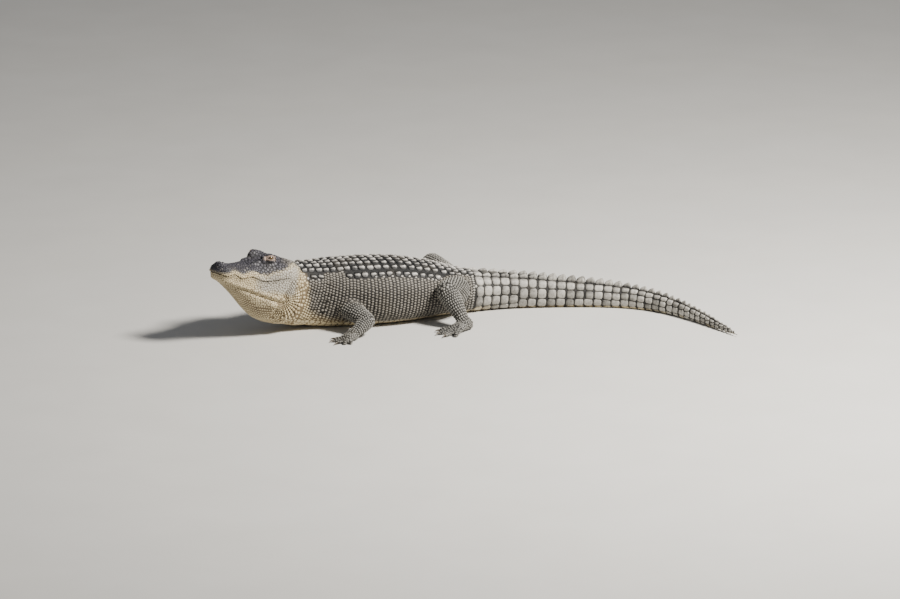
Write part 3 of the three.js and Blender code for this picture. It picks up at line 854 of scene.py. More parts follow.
def new_object(name, mesh):
    made = bpy.data.objects.new(name, mesh)
    bpy.context.scene.collection.objects.link(made)
    return made


def mesh_object(name, points, faces):
    mesh = bpy.data.meshes.new(name)
    mesh.from_pydata(points.tolist(), [], faces)
    mesh.update()
    return new_object(name, mesh)


def vertex_rows(mesh, name):
    """The vertices' places or normals."""
    flat = np.empty(len(mesh.vertices) * 3, np.float32)
    mesh.vertices.foreach_get(name, flat)
    return flat.reshape(-1, 3).astype(float)


def mesh_points(mesh):
    return vertex_rows(mesh, "co")


def mesh_edges(mesh):
    flat = np.empty(len(mesh.edges) * 2, np.int32)
    mesh.edges.foreach_get("vertices", flat)
    return flat.reshape(-1, 2)


def set_points(mesh, points):
    mesh.vertices.foreach_set("co", points.astype(np.float32).ravel())
    mesh.update()


def set_marks(mesh, marks):
    for name, value in marks.items():
        mesh.attributes.new(name, "FLOAT", "POINT").data.foreach_set("value", value.astype(np.float32))


def evaluated_mesh(obj):
    """The mesh that an object's modifiers give; the object goes."""
    graph = bpy.context.evaluated_depsgraph_get()
    mesh = bpy.data.meshes.new_from_object(obj.evaluated_get(graph))
    bpy.data.objects.remove(obj)
    return mesh


def neighbour_mean(points, edges):
    count = np.maximum(np.bincount(edges.ravel(), minlength=len(points)), 1)
    total = np.zeros_like(points)
    for axis in range(3):
        for here, there in ((0, 1), (1, 0)):
            total[:, axis] += np.bincount(edges[:, here], points[edges[:, there], axis], len(points))
    return total / count[:, None]


def eye_frame(side):
    """The eye's centre in spine millimetres, and its gaze, forward and upward directions."""
    centre = head_point(EYE_SEAT[0], side * EYE_SEAT[1], EYE_SEAT[2])
    gaze = unit(EYE_ASIDE * side * HEAD_LEFT + EYE_FORWARD * AHEAD + EYE_UPWARD * HEAD_UP)
    forward = unit(AHEAD - gaze * (AHEAD @ gaze))
    upward = unit(HEAD_UP - gaze * (HEAD_UP @ gaze) - forward * (HEAD_UP @ forward))
    return centre, gaze, forward, upward


def lid_place(points, side):
    """Distance from the eye's centre, how far outside the opening (1 at its rim), to the front, and up."""
    centre, gaze, forward, upward = eye_frame(side)
    off = points - centre
    far = np.linalg.norm(off, axis=1)
    way = off / np.maximum(far, 1e-6)[:, None]
    x, y, z = way @ forward, way @ upward, way @ gaze
    half, above, below = LID_OPENING
    tall = np.where(y > 0, above, below)
    spread = np.abs(x / half) ** LID_ROUNDNESS[0] + np.abs(y / tall) ** LID_ROUNDNESS[1]
    return far, np.where(z > 0, spread, 9.0), z, y


def head_relief(at):
    """The head's folds, ridges and pits, as a distance along the normal of each point."""
    teeth = 1 - TOOTH_SWELL + TOOTH_SWELL * np.cos(at["t"] * 2 * np.pi / TOOTH_STEP)
    rough = sum(height * wave(at.points, scale, seed) for height, scale, seed in ROUGH_BONE)
    move = at.shaped(HEAD_RELIEF) + at.shaped(LIPS) * teeth + at.shaped(ROUGH_PLACES) * rough
    return move * at.band(*ON_HEAD)


def neck_relief(at):
    """Folds at each corner of the jaws, rings of loose skin behind them, and the shoulder's crease."""
    folds = np.cos(at["fan_turn"] * 2 * np.pi / FAN_STEP)
    distance, scale, seed = NECK_RING_SWAY
    rings = np.sin((at["s"] + distance * wave(at.points, scale, seed)) * 2 * np.pi / NECK_RING_STEP)
    return at.shaped(FAN_RELIEF) * folds + at.shaped(NECK_RINGS) * rings + at.shaped(SHOULDER_CREASE)


def refine(mesh, wanted):
    """Halves the edges with both ends wanted."""
    made = bmesh.new()
    made.from_mesh(mesh)
    made.verts.ensure_lookup_table()
    edges = [e for e in made.edges if wanted[e.verts[0].index] and wanted[e.verts[1].index]]
    bmesh.ops.subdivide_edges(made, edges=edges, cuts=1, use_grid_fill=True)
    made.to_mesh(mesh)
    made.free()


def fine_places(at):
    """True near the lids, the mouth line and the nostrils."""
    wanted = (np.abs(at["gap"]) < FINE["mouth"]) & (at["t"] < FINE["mouth_end"])
    on_pad = (at["aside"] < FINE["pad_half"]) & (at["up"] > FINE["pad_floor"])
    wanted |= on_pad & (np.abs(at["t"] - NOSTRIL["at"]) < FINE["pad_long"])
    for side in (1, -1):
        centre, gaze, _, _ = eye_frame(side)
        off = at.points - centre
        wanted |= (np.linalg.norm(off, axis=1) < FINE["eye"]) & (off @ gaze > FINE["eye_back"])
    return wanted


def thinned(obj, plain):
    """The object's mesh with fewer faces where plain is 1."""
    group = obj.vertex_groups.new(name="plain")
    for k in np.flatnonzero(plain > 0.02):
        group.add([int(k)], float(plain[k]), "REPLACE")
    fewer = obj.modifiers.new("Fewer", "DECIMATE")
    fewer.ratio = PLAIN_SHARE
    fewer.vertex_group = group.name
    fewer.vertex_group_factor = 100
    return evaluated_mesh(obj)


def lidded(points):
    """The points near an eye, moved to make its lids and to leave its opening."""
    radius = size("eye_radius")
    rim = radius + LID_THICKNESS
    for side in (1, -1):
        centre = eye_frame(side)[0]
        far, spread, front, height = lid_place(points, side)
        near = between(40, 31, far) * between(-0.45, -0.05, front)
        fold = LID_FOLDS["height"] * np.sin((np.sqrt(spread) - 1) * LID_FOLDS["turns"])
        fold = fold * between(1.15, 1.5, spread) * between(6, 3.5, spread)
        fold = fold * np.where(height < 0, LID_FOLDS["lower"], LID_FOLDS["upper"])
        lid = np.maximum(rim + (far - rim) * between(1.25, 4.2, spread), rim - LID_PRESS) + fold
        opened = np.where(spread < 1, radius - EYE_POCKET, lid)
        wished = np.where(front > 0.02, opened, np.maximum(far, rim - LID_PRESS))
        reach = far + (wished - far) * near
        points = centre + (points - centre) * (reach / np.maximum(far, 1e-6))[:, None]
    return points


def settle(mesh):
    """Moves the mesh's points towards the middle of their neighbours, and those of the feet much less."""
    at = Places(mesh_points(mesh))
    share = SETTLE - FIRM_FEET * at.band(*FOOT_REGION)
    middle = neighbour_mean(at.points, mesh_edges(mesh))
    set_points(mesh, at.points + (middle - at.points) * share[:, None])


def smooth_joints(mesh):
    """Smooths the mesh where limbs and head join the body, and says how plain it is at each point."""
    at = Places(mesh_points(mesh))
    edges = mesh_edges(mesh)
    off_head = 1 - at.band(*HEAD_REGION)
    small = at.band(*FOOT_REGION)
    weight = SMOOTHING["least"] + SMOOTHING["joint"] * at.bands(JOINT_REGION) * off_head
    weight = np.clip(weight + SMOOTHING["nape"] * at.band(*NAPE_REGION), 0, SMOOTHING["most"])
    points = at.points
    for turn in range(SMOOTHING_ROUNDS):
        pull = weight * (1 - small) + (FOOT_PULL * small if turn < FOOT_ROUNDS else 0)
        points = points + (neighbour_mean(points, edges) - points) * pull[:, None]
    set_points(mesh, points)
    return off_head * at.band("feet", 0, 20)


def make_skin():
    """The skin's mesh, in the spine's millimetres."""
    rough = mesh_object("rough", *flesh_forms())
    remesh = rough.modifiers.new("Remesh", "REMESH")
    remesh.mode = "VOXEL"
    remesh.voxel_size = VOXEL
    mesh = evaluated_mesh(rough)
    plain = smooth_joints(mesh)
    mesh = thinned(new_object("rough", mesh), plain)
    refine(mesh, Places(mesh_points(mesh))["t"] < HEAD_BACK + 4)
    settle(mesh)
    refine(mesh, fine_places(Places(mesh_points(mesh))))
    settle(mesh)
    at = Places(mesh_points(mesh), vertex_rows(mesh, "normal"))
    move = head_relief(at) + neck_relief(at)
    points = lidded(at.points + at.normals * move[:, None])
    points[:, 2] = np.maximum(points[:, 2], FLOOR_CLEARANCE / 2)
    set_points(mesh, points)
    return mesh


class Skin:
    """The skin's mesh and a search tree over it, both in the spine's millimetres."""

    def __init__(self, mesh):
        self.mesh = mesh
        self.points = mesh_points(mesh)
        self.normals = vertex_rows(mesh, "normal")
        self.tree = BVHTree.FromPolygons(self.points.tolist(), [tuple(p.vertices) for p in mesh.polygons])

    def nearest(self, points):
        """The nearest places on the skin, and its normals there."""
        found = [self.tree.find_nearest(p)[:2] for p in points.tolist()]
        return np.array([place[:] for place, _ in found]), np.array([normal[:] for _, normal in found])

    def under(self, points, normals, reach):
        """The nearest places, the normals there, and whether each is near and faces the same way."""
        place, face = self.nearest(points)
        near = np.linalg.norm(place - points, axis=1) < reach
        return place, face, near & (along_rows(face, normals) > 0.5)

    def struck(self, start, direction):
        """Where a ray meets the skin, with the normal there, or None."""
        hit, normal, _, _ = self.tree.ray_cast(Vector(start), Vector(direction))
        return None if hit is None else (np.array(hit), np.array(normal))


@functools.cache
def skin_shape():
    return Skin(make_skin())


@functools.cache
def arc_table():
    """Distances round the body from the middle of the back, at the table's places and angles."""
    around = body_point(ARC_PLACES[:, None], ARC_ANGLES[None, :])
    steps = np.linalg.norm(np.diff(around, axis=1), axis=2)
    return np.concatenate([np.zeros((len(ARC_PLACES), 1)), np.cumsum(steps, axis=1)], axis=1)


def table_step(share, count):
    """The row before a share of a table's length, and how far past it."""
    k = np.clip(share * (count - 1), 0, count - 1.001)
    whole = np.asarray(k).astype(int)
    return whole, k - whole


def arc_length(s, angle):
    """Distance round the body from the middle of the back."""
    arcs = arc_table()
    i, u = table_step(s / TAIL_TIP, len(ARC_PLACES))
    j, v = table_step(np.abs(angle) / np.pi, len(ARC_ANGLES))
    near = arcs[i, j] * (1 - v) + arcs[i, j + 1] * v
    far = arcs[i + 1, j] * (1 - v) + arcs[i + 1, j + 1] * v
    return near * (1 - u) + far * u


def angle_at(s, arc):
    """The angle from the middle of the back at a distance round the body, at one place along it."""
    i, u = table_step(s / TAIL_TIP, len(ARC_PLACES))
    return np.interp(arc, arc_table()[i] * (1 - u) + arc_table()[i + 1] * u, ARC_ANGLES)


def scute_edge(s):
    """Distance from the middle of the back to where the flank begins."""
    outermost = np.interp(np.interp(s, *SCUTES_ACROSS.T) / 2 - 1, np.arange(4), SCUTE_ARCS)
    return np.interp(s, *SCUTE_SPACING.T) * (outermost + SCUTE_MARGIN)


def markings(points):
    """The hide's markings at points, each between 0 and 1; the gap mark is painted shade along the mouth's
    slit.
    """
    at = Places(points)
    head = at.band(*HEAD_MARK)
    leg = (1 - head) * at.band(*LEG_MARK)
    marks = {name: head * at.bands(rows) for name, rows in HEAD_MARKS.items()}
    for name, rows in BODY_MARKS.items():
        marks[name] = marks.get(name, 0) + (1 - head) * at.bands(rows) * (1 - leg)
    share, start, end = NAPE_FADE
    marks["dusk"] = marks["dusk"] * (1 - share * between(start, end, at["t"] + SWAY["nape"] * at["sway"]))
    lid = np.zeros(len(points))
    for side in (1, -1):
        far, spread, _, _ = lid_place(points, side)
        lid = np.maximum(lid, between(*LID_MARK[0], spread) * between(*LID_MARK[1], far))
    return {**marks, "limb": leg, "lid": lid, "gap": at.shaped(MOUTH_SHADE) * head}


class Scales:
    """Roots of scales, with their lie and their sizes, gathered group by group."""

    def __init__(self, laid=None):
        names = ("root", "normal", "along", "group", *NUMBERS)
        self.rows = {name: [laid[name]] if laid else [] for name in names}

    def add(self, group, root, normal, along, **sizes):
        count = len(root)
        along = unit(along - normal * along_rows(along, normal)[:, None])
        added = {"root": root, "normal": normal, "along": along, "group": np.full(count, GROUPS.index(group))}
        for name in NUMBERS:
            added[name] = np.broadcast_to(np.asarray(sizes.get(name, 0.0), float), count)
        for name, values in added.items():
            self.rows[name].append(values)

    def all(self):
        return {name: np.concatenate(parts) for name, parts in self.rows.items()}


def body_candidates(places):
    """Points, normals and rearward directions on the body's own shape, from rows of place and angle."""
    s, angle = places.T
    point = body_point(s, angle)
    along = unit(body_point(s + 3, angle) - point)
    normal = unit(np.cross(along, body_point(s, angle + 0.01) - point))
    outward = np.sign(along_rows(normal, point - spine(s)[0]))
    return point, normal * outward[:, None], along


def lay_on_body(scales, group, rows, **sizes):
    """Lays scales from rows of place, angle, half length, half width, and perhaps height and keel."""
    rows = np.array(rows)
    point, normal, along = body_candidates(rows[:, :2])
    place, face, good = skin_shape().under(point, normal, BODY_REACH)
    columns = dict(zip(("long", "wide", "height", "keel"), rows[good, 2:].T))
    scales.add(group, place[good], face[good], along[good], **columns, **sizes)


def back_scutes(scales, chance):
    pitch = size("scute_pitch")
    keel = size("scute_keel")
    rows = []
    for s in np.arange(SCUTE_START, VENT, pitch):
        count = round(np.interp(s, *SCUTES_ACROSS.T) / 2)
        spacing = np.interp(s, *SCUTE_SPACING.T)
        for k in range(count):
            outer = k == count - 1
            nudge, long, wide = (4, 0.41, 0.48) if outer else (0, 0.43, 0.46)
            for side in (1, -1):
                rows.append((
                    s + chance.uniform(-1.5, 1.5) + nudge,
                    side * angle_at(s, SCUTE_ARCS[k] * spacing + chance.uniform(-1, 1)),
                    pitch * long * chance.uniform(0.93, 1.03),
                    spacing * wide,
                    chance.uniform(2.4, 3.2),
                    chance.uniform(keel - 1, keel + 1) * (1.1 if k in (1, 2) else 0.95),
                ))
    lay_on_body(scales, "back_scutes", rows, square=4.0, tilt=0.3)


def crest_height(i):
    share = min(i / WHORLS * CREST["stretch"] + CREST["start"], 1)
    return CREST["least"] + size("crest_rise") * np.sin(np.pi * share) ** CREST["fullness"]


def tail_scales(scales, chance):
    """Whorl by whorl: the crests' blades, a pair of scales between them, and rows down the sides."""
    blades = []
    rows = []
    end = float(VENT)
    for i in range(WHORLS):
        start = end
        end = start + LONGEST_WHORL * (1 - SHORTENING * (i / WHORLS) ** 2)
        if end > TAIL_TIP:
            break
        length = end - start
        s = (start + end) / 2
        total = arc_length(s, np.pi)
        twin = i < DOUBLE_WHORLS
        lean = np.radians(CREST["lean"] - i) if twin else 0.0
        crest_arc = arc_length(s, lean)
        half_crest = 0.5 * min(13, 0.22 * total) if twin else min(6.5, 0.2 * total)
        for side in (1, -1) if twin else (0,):
            blades.append((s, side * lean, length * 0.52, min(8.5, 0.17 * total), crest_height(i)))
        if twin and crest_arc > 15:
            middle = (crest_arc - half_crest) / 2
            for side in (1, -1):
                angle = side * angle_at(s, middle)
                rows.append((s, angle, length * 0.43, middle * 0.96, 2.4, 5 * between(3, 14, middle)))
        first = crest_arc + half_crest
        count = 5 if i < 5 else 4 if i < 22 else 3
        step = (total - first) / count
        for k in range(count):
            upper = k < count - 2
            keel = 3.4 if k == 0 and i < 12 else 2.2 if upper else 0.6
            for side in (1, -1):
                tall = (3.6 if upper else 2.2) * chance.uniform(0.8, 1.15)
                slide = 1.6 * (k % 2) + chance.uniform(-1.6, 1.6)
                angle = side * angle_at(s, first + (k + 0.5) * step + chance.uniform(-1.5, 1.5))
                long = length * chance.uniform(0.41, 0.46)
                tall = tall * (0.5 + 0.5 * length / LONGEST_WHORL)
                rows.append((s + slide, angle, long, step * 0.54, tall, keel))
    blades = np.array(blades)
    point, normal, along = body_candidates(blades[:, :2])
    place, _ = skin_shape().nearest(point)
    upright = unit(normal * 0.5 + np.array([0, 0, 1.0]) + along * 0.12)
    scales.add("crests", place, upright, along, long=blades[:, 2], wide=blades[:, 3], keel=blades[:, 4],
               square=3.0, height=2.0)
    lay_on_body(scales, "tail_scales", rows, square=3.4, tilt=0.9)


def flank_scales(scales, chance):
    pitch = size("flank_pitch")
    spacing = size("flank_spacing")
    rows = []
    for n, s in enumerate(np.arange(92, VENT, pitch)):
        first = scute_edge(s) + 8
        slide = 0.45 * (n % 2) * spacing
        for arc in np.arange(first + slide, arc_length(s, FLANK_END), spacing):
            for side in (1, -1):
                grown = 1 - between(0, 60, arc - first)
                rows.append((
                    s + chance.uniform(-1, 1),
                    side * angle_at(s, arc + chance.uniform(-0.8, 0.8)),
                    pitch / 2 - 1.65 + 0.9 * grown,
                    spacing / 2 - 1.1 + 0.6 * grown,
                    2.5 + chance.uniform(-0.4, 0.6),
                ))
    lay_on_body(scales, "flank_scales", rows, square=2.5, keel=0.8, tilt=0.5)


def belly_scales(scales, chance):
    pitch = size("belly_pitch")
    rows = []
    for s in np.arange(100, VENT, pitch):
        first = arc_length(s, BELLY_START)
        width = arc_length(s, np.pi) - first
        count = max(round(width / size("belly_spacing")), 1)
        step = width / count
        for k in range(count):
            for side in (1, -1):
                rows.append((s, side * angle_at(s, first + (k + 0.5) * step), (pitch - 1) / 2, step * 0.48))
    lay_on_body(scales, "belly_scales", rows, square=5.0, height=1.4, tilt=0.2)


def leg_scales(scales, chance):
    """Rings of scales round each length of each leg."""
    for leg in LEGS:
        pitches = (size(f"{leg['kind']}_upper_pitch"), size(f"{leg['kind']}_lower_pitch"))
        for (start, end, radii), pitch in zip(leg_lengths(leg), pitches):
            axis, length, across, top = length_axes(start, end)
            first = 0.3 * length if start is leg["root"] else pitch / 2
            points = []
            outs = []
            for n, far in enumerate(np.arange(first, length + pitch, pitch)):
                radius = read(radii, min(far / length, 1.0))
                count = max(int(2 * np.pi * radius / (pitch * 0.92)), 6)
                turn = (np.arange(count) + 0.5 * (n % 2))[:, None] * 2 * np.pi / count
                outs.append(np.cos(turn) * across + np.sin(turn) * top)
                points.append(start + axis * far + outs[-1] * radius)
            outs = np.concatenate(outs)
            place, face, good = skin_shape().under(np.concatenate(points), outs, 7.0)
            good &= body_place(place)[2] > 7
            long = pitch * chance.uniform(0.42, 0.47, good.sum())
            bold = between(-0.1, 0.7, outs[good] @ unit(np.array([0, leg["side"] * 0.8, 0.6])))
            scales.add("leg_scales", place[good], face[good], np.tile(axis, (good.sum(), 1)), long=long,
                       wide=long * 0.92, square=2.6, height=pitch * (0.16 + 0.05 * bold),
                       keel=0.6 + 1.6 * bold, tilt=0.7)


def toe_scales(scales, chance):
    """Bands over the toes."""
    for leg in LEGS:
        toe = FEET[leg["kind"]]["toe"]
        for k in range(len(FEET[leg["kind"]]["toes"])):
            knuckle, along, length = toe_line(leg, k)
            far = np.arange(2, length - 2, 6.2)
            points = knuckle + far[:, None] * along + np.array([0, 0, toe * 2])
            place, face, good = skin_shape().under(points, np.tile([0, 0, 1.0], (len(far), 1)), BODY_REACH)
            scales.add("foot_scales", place[good], face[good], np.tile(along, (good.sum(), 1)), long=3.0,
                       wide=toe * 0.8, square=3.0, height=1.5, keel=0.3, tilt=0.9)


def fan_scales(scales, chance):
    """Rows of small scales on the folds that run back from each corner of the jaws."""
    rows = []
    for turn in np.arange(-1.6, 1.25, FAN_STEP):
        turn = round(turn / FAN_STEP) * FAN_STEP
        stretch = 1.55 if turn < -0.3 else 1.05
        far = 22.0
        while far < 122:
            half = min(far * FAN_STEP * 0.45, 6.5)
            reach = max(half * stretch, 4.0)
            t = JAW_CORNER[0] + far * np.cos(turn)
            up = JAW_CORNER[1] + far * np.sin(turn)
            for side in (1, -1):
                start = head_point(t, side * ASIDE_OF_HEAD, up)
                struck = skin_shape().struck(start, -side * HEAD_LEFT)
                if struck and abs(HEAD_LEFT @ struck[1]) >= 0.45:
                    rows.append((*struck, HEAD_UP * np.sin(turn) - AHEAD * np.cos(turn), reach, half))
            far += reach * 2 + 0.8
    root, normal, along, long, wide = (np.array(column) for column in zip(*rows))
    scales.add("neck_scales", root, normal, along, long=long, wide=wide, square=3.0,
               height=2.0, keel=0.6, tilt=0.5)


def throat_scales(scales, chance):
    """Rows across the throat, from the chin back."""
    rows = []
    for n, t in enumerate(np.arange(40, 372, size("throat_pitch"))):
        for k in range(-12, 13):
            side = (k + 0.5 * (n % 2)) * size("throat_spacing")
            struck = skin_shape().struck(head_point(t, side, -BELOW_HEAD), HEAD_UP)
            if struck and HEAD_UP @ struck[1] <= -0.35 and struck[0][2] >= 8:
                rows.append(struck)
    root, normal = (np.array(column) for column in zip(*rows))
    scales.add("neck_scales", root, normal, np.tile(-AHEAD, (len(root), 1)), long=4.6, wide=4.2, square=3.5,
               height=1.4, tilt=0.4)


def root_tree(roots):
    tree = KDTree(len(roots))
    for k, root in enumerate(roots.tolist()):
        tree.insert(root, k)
    tree.balance()
    return tree


def thinned_out(data):
    """Without the scales that an earlier one leaves no room for."""
    roots = data["root"]
    mean = np.sqrt(data["long"] * data["wide"])
    tailed = np.isin(data["group"], [GROUPS.index(name) for name in ("tail_scales", "crests")])
    tree = root_tree(roots)
    keep = np.ones(len(roots), bool)
    for k, root in enumerate(roots.tolist()):
        if not keep[k]:
            continue
        for _, other, away in tree.find_range(root, mean[k] * CROWDED_REACH):
            both = tailed[other] and tailed[k]
            if other > k and not both and away < CROWDED * (mean[k] + mean[other]):
                keep[other] = False
    return {name: value[keep] for name, value in data.items()}


def fill_spacing(at):
    """The wished distance between scales where no row is laid: smallest on the face and the feet."""
    on_head = at["t"] < HEAD_SCALES_END
    head = 7.0 + 3.2 * between(14, 60, at["gap"] + 1) + 1.6 * at.band("t", 120, 260)
    head = np.where(np.abs(at["gap"]) < 9, 5.4, head)
    for side in (1, -1):
        head = np.where(lid_place(at.points, side)[0] < 27, 3.9, head)
    return np.where(on_head, head, np.where(at["feet"] < 2, 6.0, 9.5))


def bare_places(at):
    """True where no scale is added: mouth, eyes, nostrils, under the belly, on the back and on the tail."""
    t, s, z = at["t"], at["s"], at.points[:, 2]
    behind = t > HEAD_BACK
    bare = (np.abs(at["gap"]) < 2.4) & (t < 330)
    bare |= (z < 3.0) | (behind & (z < 9) & (at.normals[:, 2] < -0.5))
    pit = ((t - NOSTRIL["at"]) / 6.5) ** 2 + ((at["aside"] - NOSTRIL["aside"]) / 5.0) ** 2
    bare |= (pit < 1.9) & (at["up"] > 20)
    bare |= behind & (at["off"] < 6) & (((at["past_scutes"] < -4) & (s > 85)) | (s > VENT))
    for side in (1, -1):
        far, spread, _, _ = lid_place(at.points, side)
        bare |= (spread < 1.5) & (far < size("eye_radius") + 8)
    return bare


class Cells:
    """Chosen points sorted into cubes, to find those near a place."""
    WIDE = 10  # more than the widest spacing

    def __init__(self, points, spacing):
        self.points = points
        self.spacing = spacing
        self.found = {}

    def near(self, k):
        """Whether a chosen point lies nearer to point k than their spacing."""
        around = [range(c - 1, c + 2) for c in self.cell(k)]
        for cell in itertools.product(*around):
            for other in self.found.get(cell, ()):
                off = self.points[other] - self.points[k]
                if off @ off < (0.5 * (self.spacing[k] + self.spacing[other])) ** 2:
                    return True
        return False

    def cell(self, k):
        return tuple(int(c // self.WIDE) for c in self.points[k])

    def choose(self, k):
        self.found.setdefault(self.cell(k), []).append(k)


def fill_scales(scales, chance):
    """Small scales wherever there is still room, each in the place that its neighbours leave."""
    skin = skin_shape()
    at = Places(skin.points, skin.normals)
    laid = scales.all()
    tree = root_tree(laid["root"])
    half = np.maximum(laid["long"], laid["wide"])
    spacing = fill_spacing(at)
    cells = Cells(skin.points, spacing)
    order = chance.permutation(len(skin.points))
    kept = []
    for k in order[~bare_places(at)[order]].tolist():
        _, near, away = tree.find(skin.points[k])
        if away >= 0.5 * spacing[k] + 0.85 * half[near] and not cells.near(k):
            cells.choose(k)
            kept.append(k)
    spacing = spacing[kept]
    at = Places(skin.points[kept], skin.normals[kept])
    on_head = at["t"] < HEAD_SCALES_END
    on_foot = ~on_head & (at["feet"] < 2)
    on_leg = ~on_head & ~on_foot & (at["off"] > 4)
    rest = ~on_head & ~on_foot & ~on_leg
    back = spine(at["s"])[1]
    on_top = between(20, 50, at["up"])
    ahead = np.tile(-AHEAD, (len(kept), 1))
    plain = 0 * on_top
    for group, mask, along, share, top in (
        ("head_scales", on_head, ahead, 0.8, on_top),
        ("foot_scales", on_foot, back, 0.68, plain),
        ("leg_scales", on_leg, back, 0.68, plain),
        ("neck_scales", rest, back, 0.68, plain),
    ):
        half = spacing[mask] * share
        scales.add(group, at.points[mask], at.normals[mask], along[mask], long=half, wide=half, square=2.0,
                   height=spacing[mask] * (0.12 - 0.03 * top[mask]), tilt=0.25)


def outlines(data, gap):
    """How far each scale reaches in each direction round its root, to fit in beside its neighbours."""
    roots, along = data["root"], data["along"]
    across = np.cross(data["normal"], along)
    cos, sin = outline_turns(OUTLINE_SIDES)
    tree = root_tree(roots)
    near = np.array([[hit[1] for hit in tree.find_n(root, NEIGHBOURS + 1)[1:]] for root in roots.tolist()])

    def reach(k, x, y):
        """The plain shape's reach in a direction in its own plane."""
        shape, long, wide = (data[name][k] for name in ("square", "long", "wide"))
        far = np.maximum(np.hypot(x, y), 1e-9)
        return (np.abs(x / far / long) ** shape + np.abs(y / far / wide) ** shape) ** (-1 / shape)

    own = np.arange(len(roots))
    radius = reach(own[:, None], cos[None, :], sin[None, :])
    for other in near.T:
        off = roots[other] - roots
        away = np.maximum(np.linalg.norm(off, axis=1), 1e-6)
        x, y = along_rows(off, along), along_rows(off, across)
        mine = reach(own, x, y)
        theirs = reach(other, -along_rows(off, along[other]), -along_rows(off, across[other]))
        toward = (x[:, None] * cos + y[:, None] * sin) / away[:, None]
        limit = (away * mine / (mine + theirs) - gap / 2)[:, None] / np.maximum(toward, 1e-3)
        radius = np.where(toward > FACING, np.minimum(radius, limit), radius)
    return np.maximum(radius, LEAST_REACH)


def bend_of(data, radius):
    """How much the skin falls away from each scale's plane, per square millimetre."""
    across = np.cross(data["normal"], data["along"])
    reach = radius.mean(1)
    fall = np.zeros(len(reach))
    for way in (data["along"], -data["along"], across, -across):
        edge = data["root"] + way * reach[:, None]
        fall += along_rows(edge - skin_shape().nearest(edge)[0], data["normal"]) / 4
    return np.clip(fall / reach**2, *BEND_LIMITS)


def on_patch(patch, across, up):
    """A place on one patch of the unwrap, from shares of its width and height."""
    left, width, bottom, height = patch
    return np.stack([left + width * across, bottom + height * up], -1)


def leg_patch(patch, k):
    return (patch[0] + LEG_PATCH_STEP * k, *patch[1:])


def atlas(data):
    """Each root's place on one unwrap of the skin: the body, the head, and each leg with its foot."""
    roots, group = data["root"], data["group"]
    at = Places(roots)
    uv = on_patch(BODY_PATCH, (at["s"] + 60) / (TAIL_TIP + 80), at["angle"] / (2 * np.pi) + 0.5)
    head = (at["t"] < HEAD_SCALES_END) | (group == GROUPS.index("head_scales"))
    turn = np.arctan2(at["side"], at["up"] + 15) / (2 * np.pi) + 0.5
    uv[head] = on_patch(HEAD_PATCH, at["t"] / 460, turn)[head]
    on_foot = group == GROUPS.index("foot_scales")
    limb = ~head & (on_foot | (group == GROUPS.index("leg_scales")))
    nearest = np.argmin([leg_distance(roots, leg) for leg in LEGS], axis=0)
    for k, leg in enumerate(LEGS):
        mine = limb & (nearest == k)
        forward, outer = foot_axes(leg)
        off = roots - leg["end"] * [1, 1, 0]
        across = 0.5 + np.clip(off @ outer / 200, -0.5, 0.5)
        up = np.clip((off @ forward + 50) / 280, 0, 1)
        uv[mine & on_foot] = on_patch(leg_patch(FOOT_PATCH, k), across, up)[mine & on_foot]
        bend = leg["bend"]
        lower = (roots - bend) @ (leg["end"] - bend) > (roots - bend) @ (leg["root"] - bend) * 0.6
        for (start, end, _), patch, part in zip(leg_lengths(leg), LEG_PATCHES, (~lower, lower)):
            axis, length, across, top = length_axes(start, end)
            away = roots - start
            turn = np.arctan2(away @ top, away @ across) / (2 * np.pi) + 0.5
            up = np.clip(away @ axis / length * 0.8 + 0.1, 0, 1)
            part = part & mine & ~on_foot
            uv[part] = on_patch(leg_patch(patch, k), turn, up)[part]
    return uv


@functools.cache
def all_scales():
    """Every scale's root, lie and sizes, its outline, and its place on the unwrap."""
    chance = np.random.default_rng(3)
    scales = Scales()
    for lay in (back_scutes, tail_scales, flank_scales, belly_scales, leg_scales, toe_scales,
                fan_scales, throat_scales):
        lay(scales, chance)
    scales = Scales(thinned_out(scales.all()))
    fill_scales(scales, chance)
    data = scales.all()
    on_head = data["group"] == GROUPS.index("head_scales")
    radius = outlines(data, np.where(on_head, size("head_scale_gap"), size("scale_gap")))
    data["bend"] = bend_of(data, radius)
    return data, radius, atlas(data)


def outline_turns(sides):
    turn = np.arange(sides) * 2 * np.pi / sides
    return np.cos(turn), np.sin(turn)


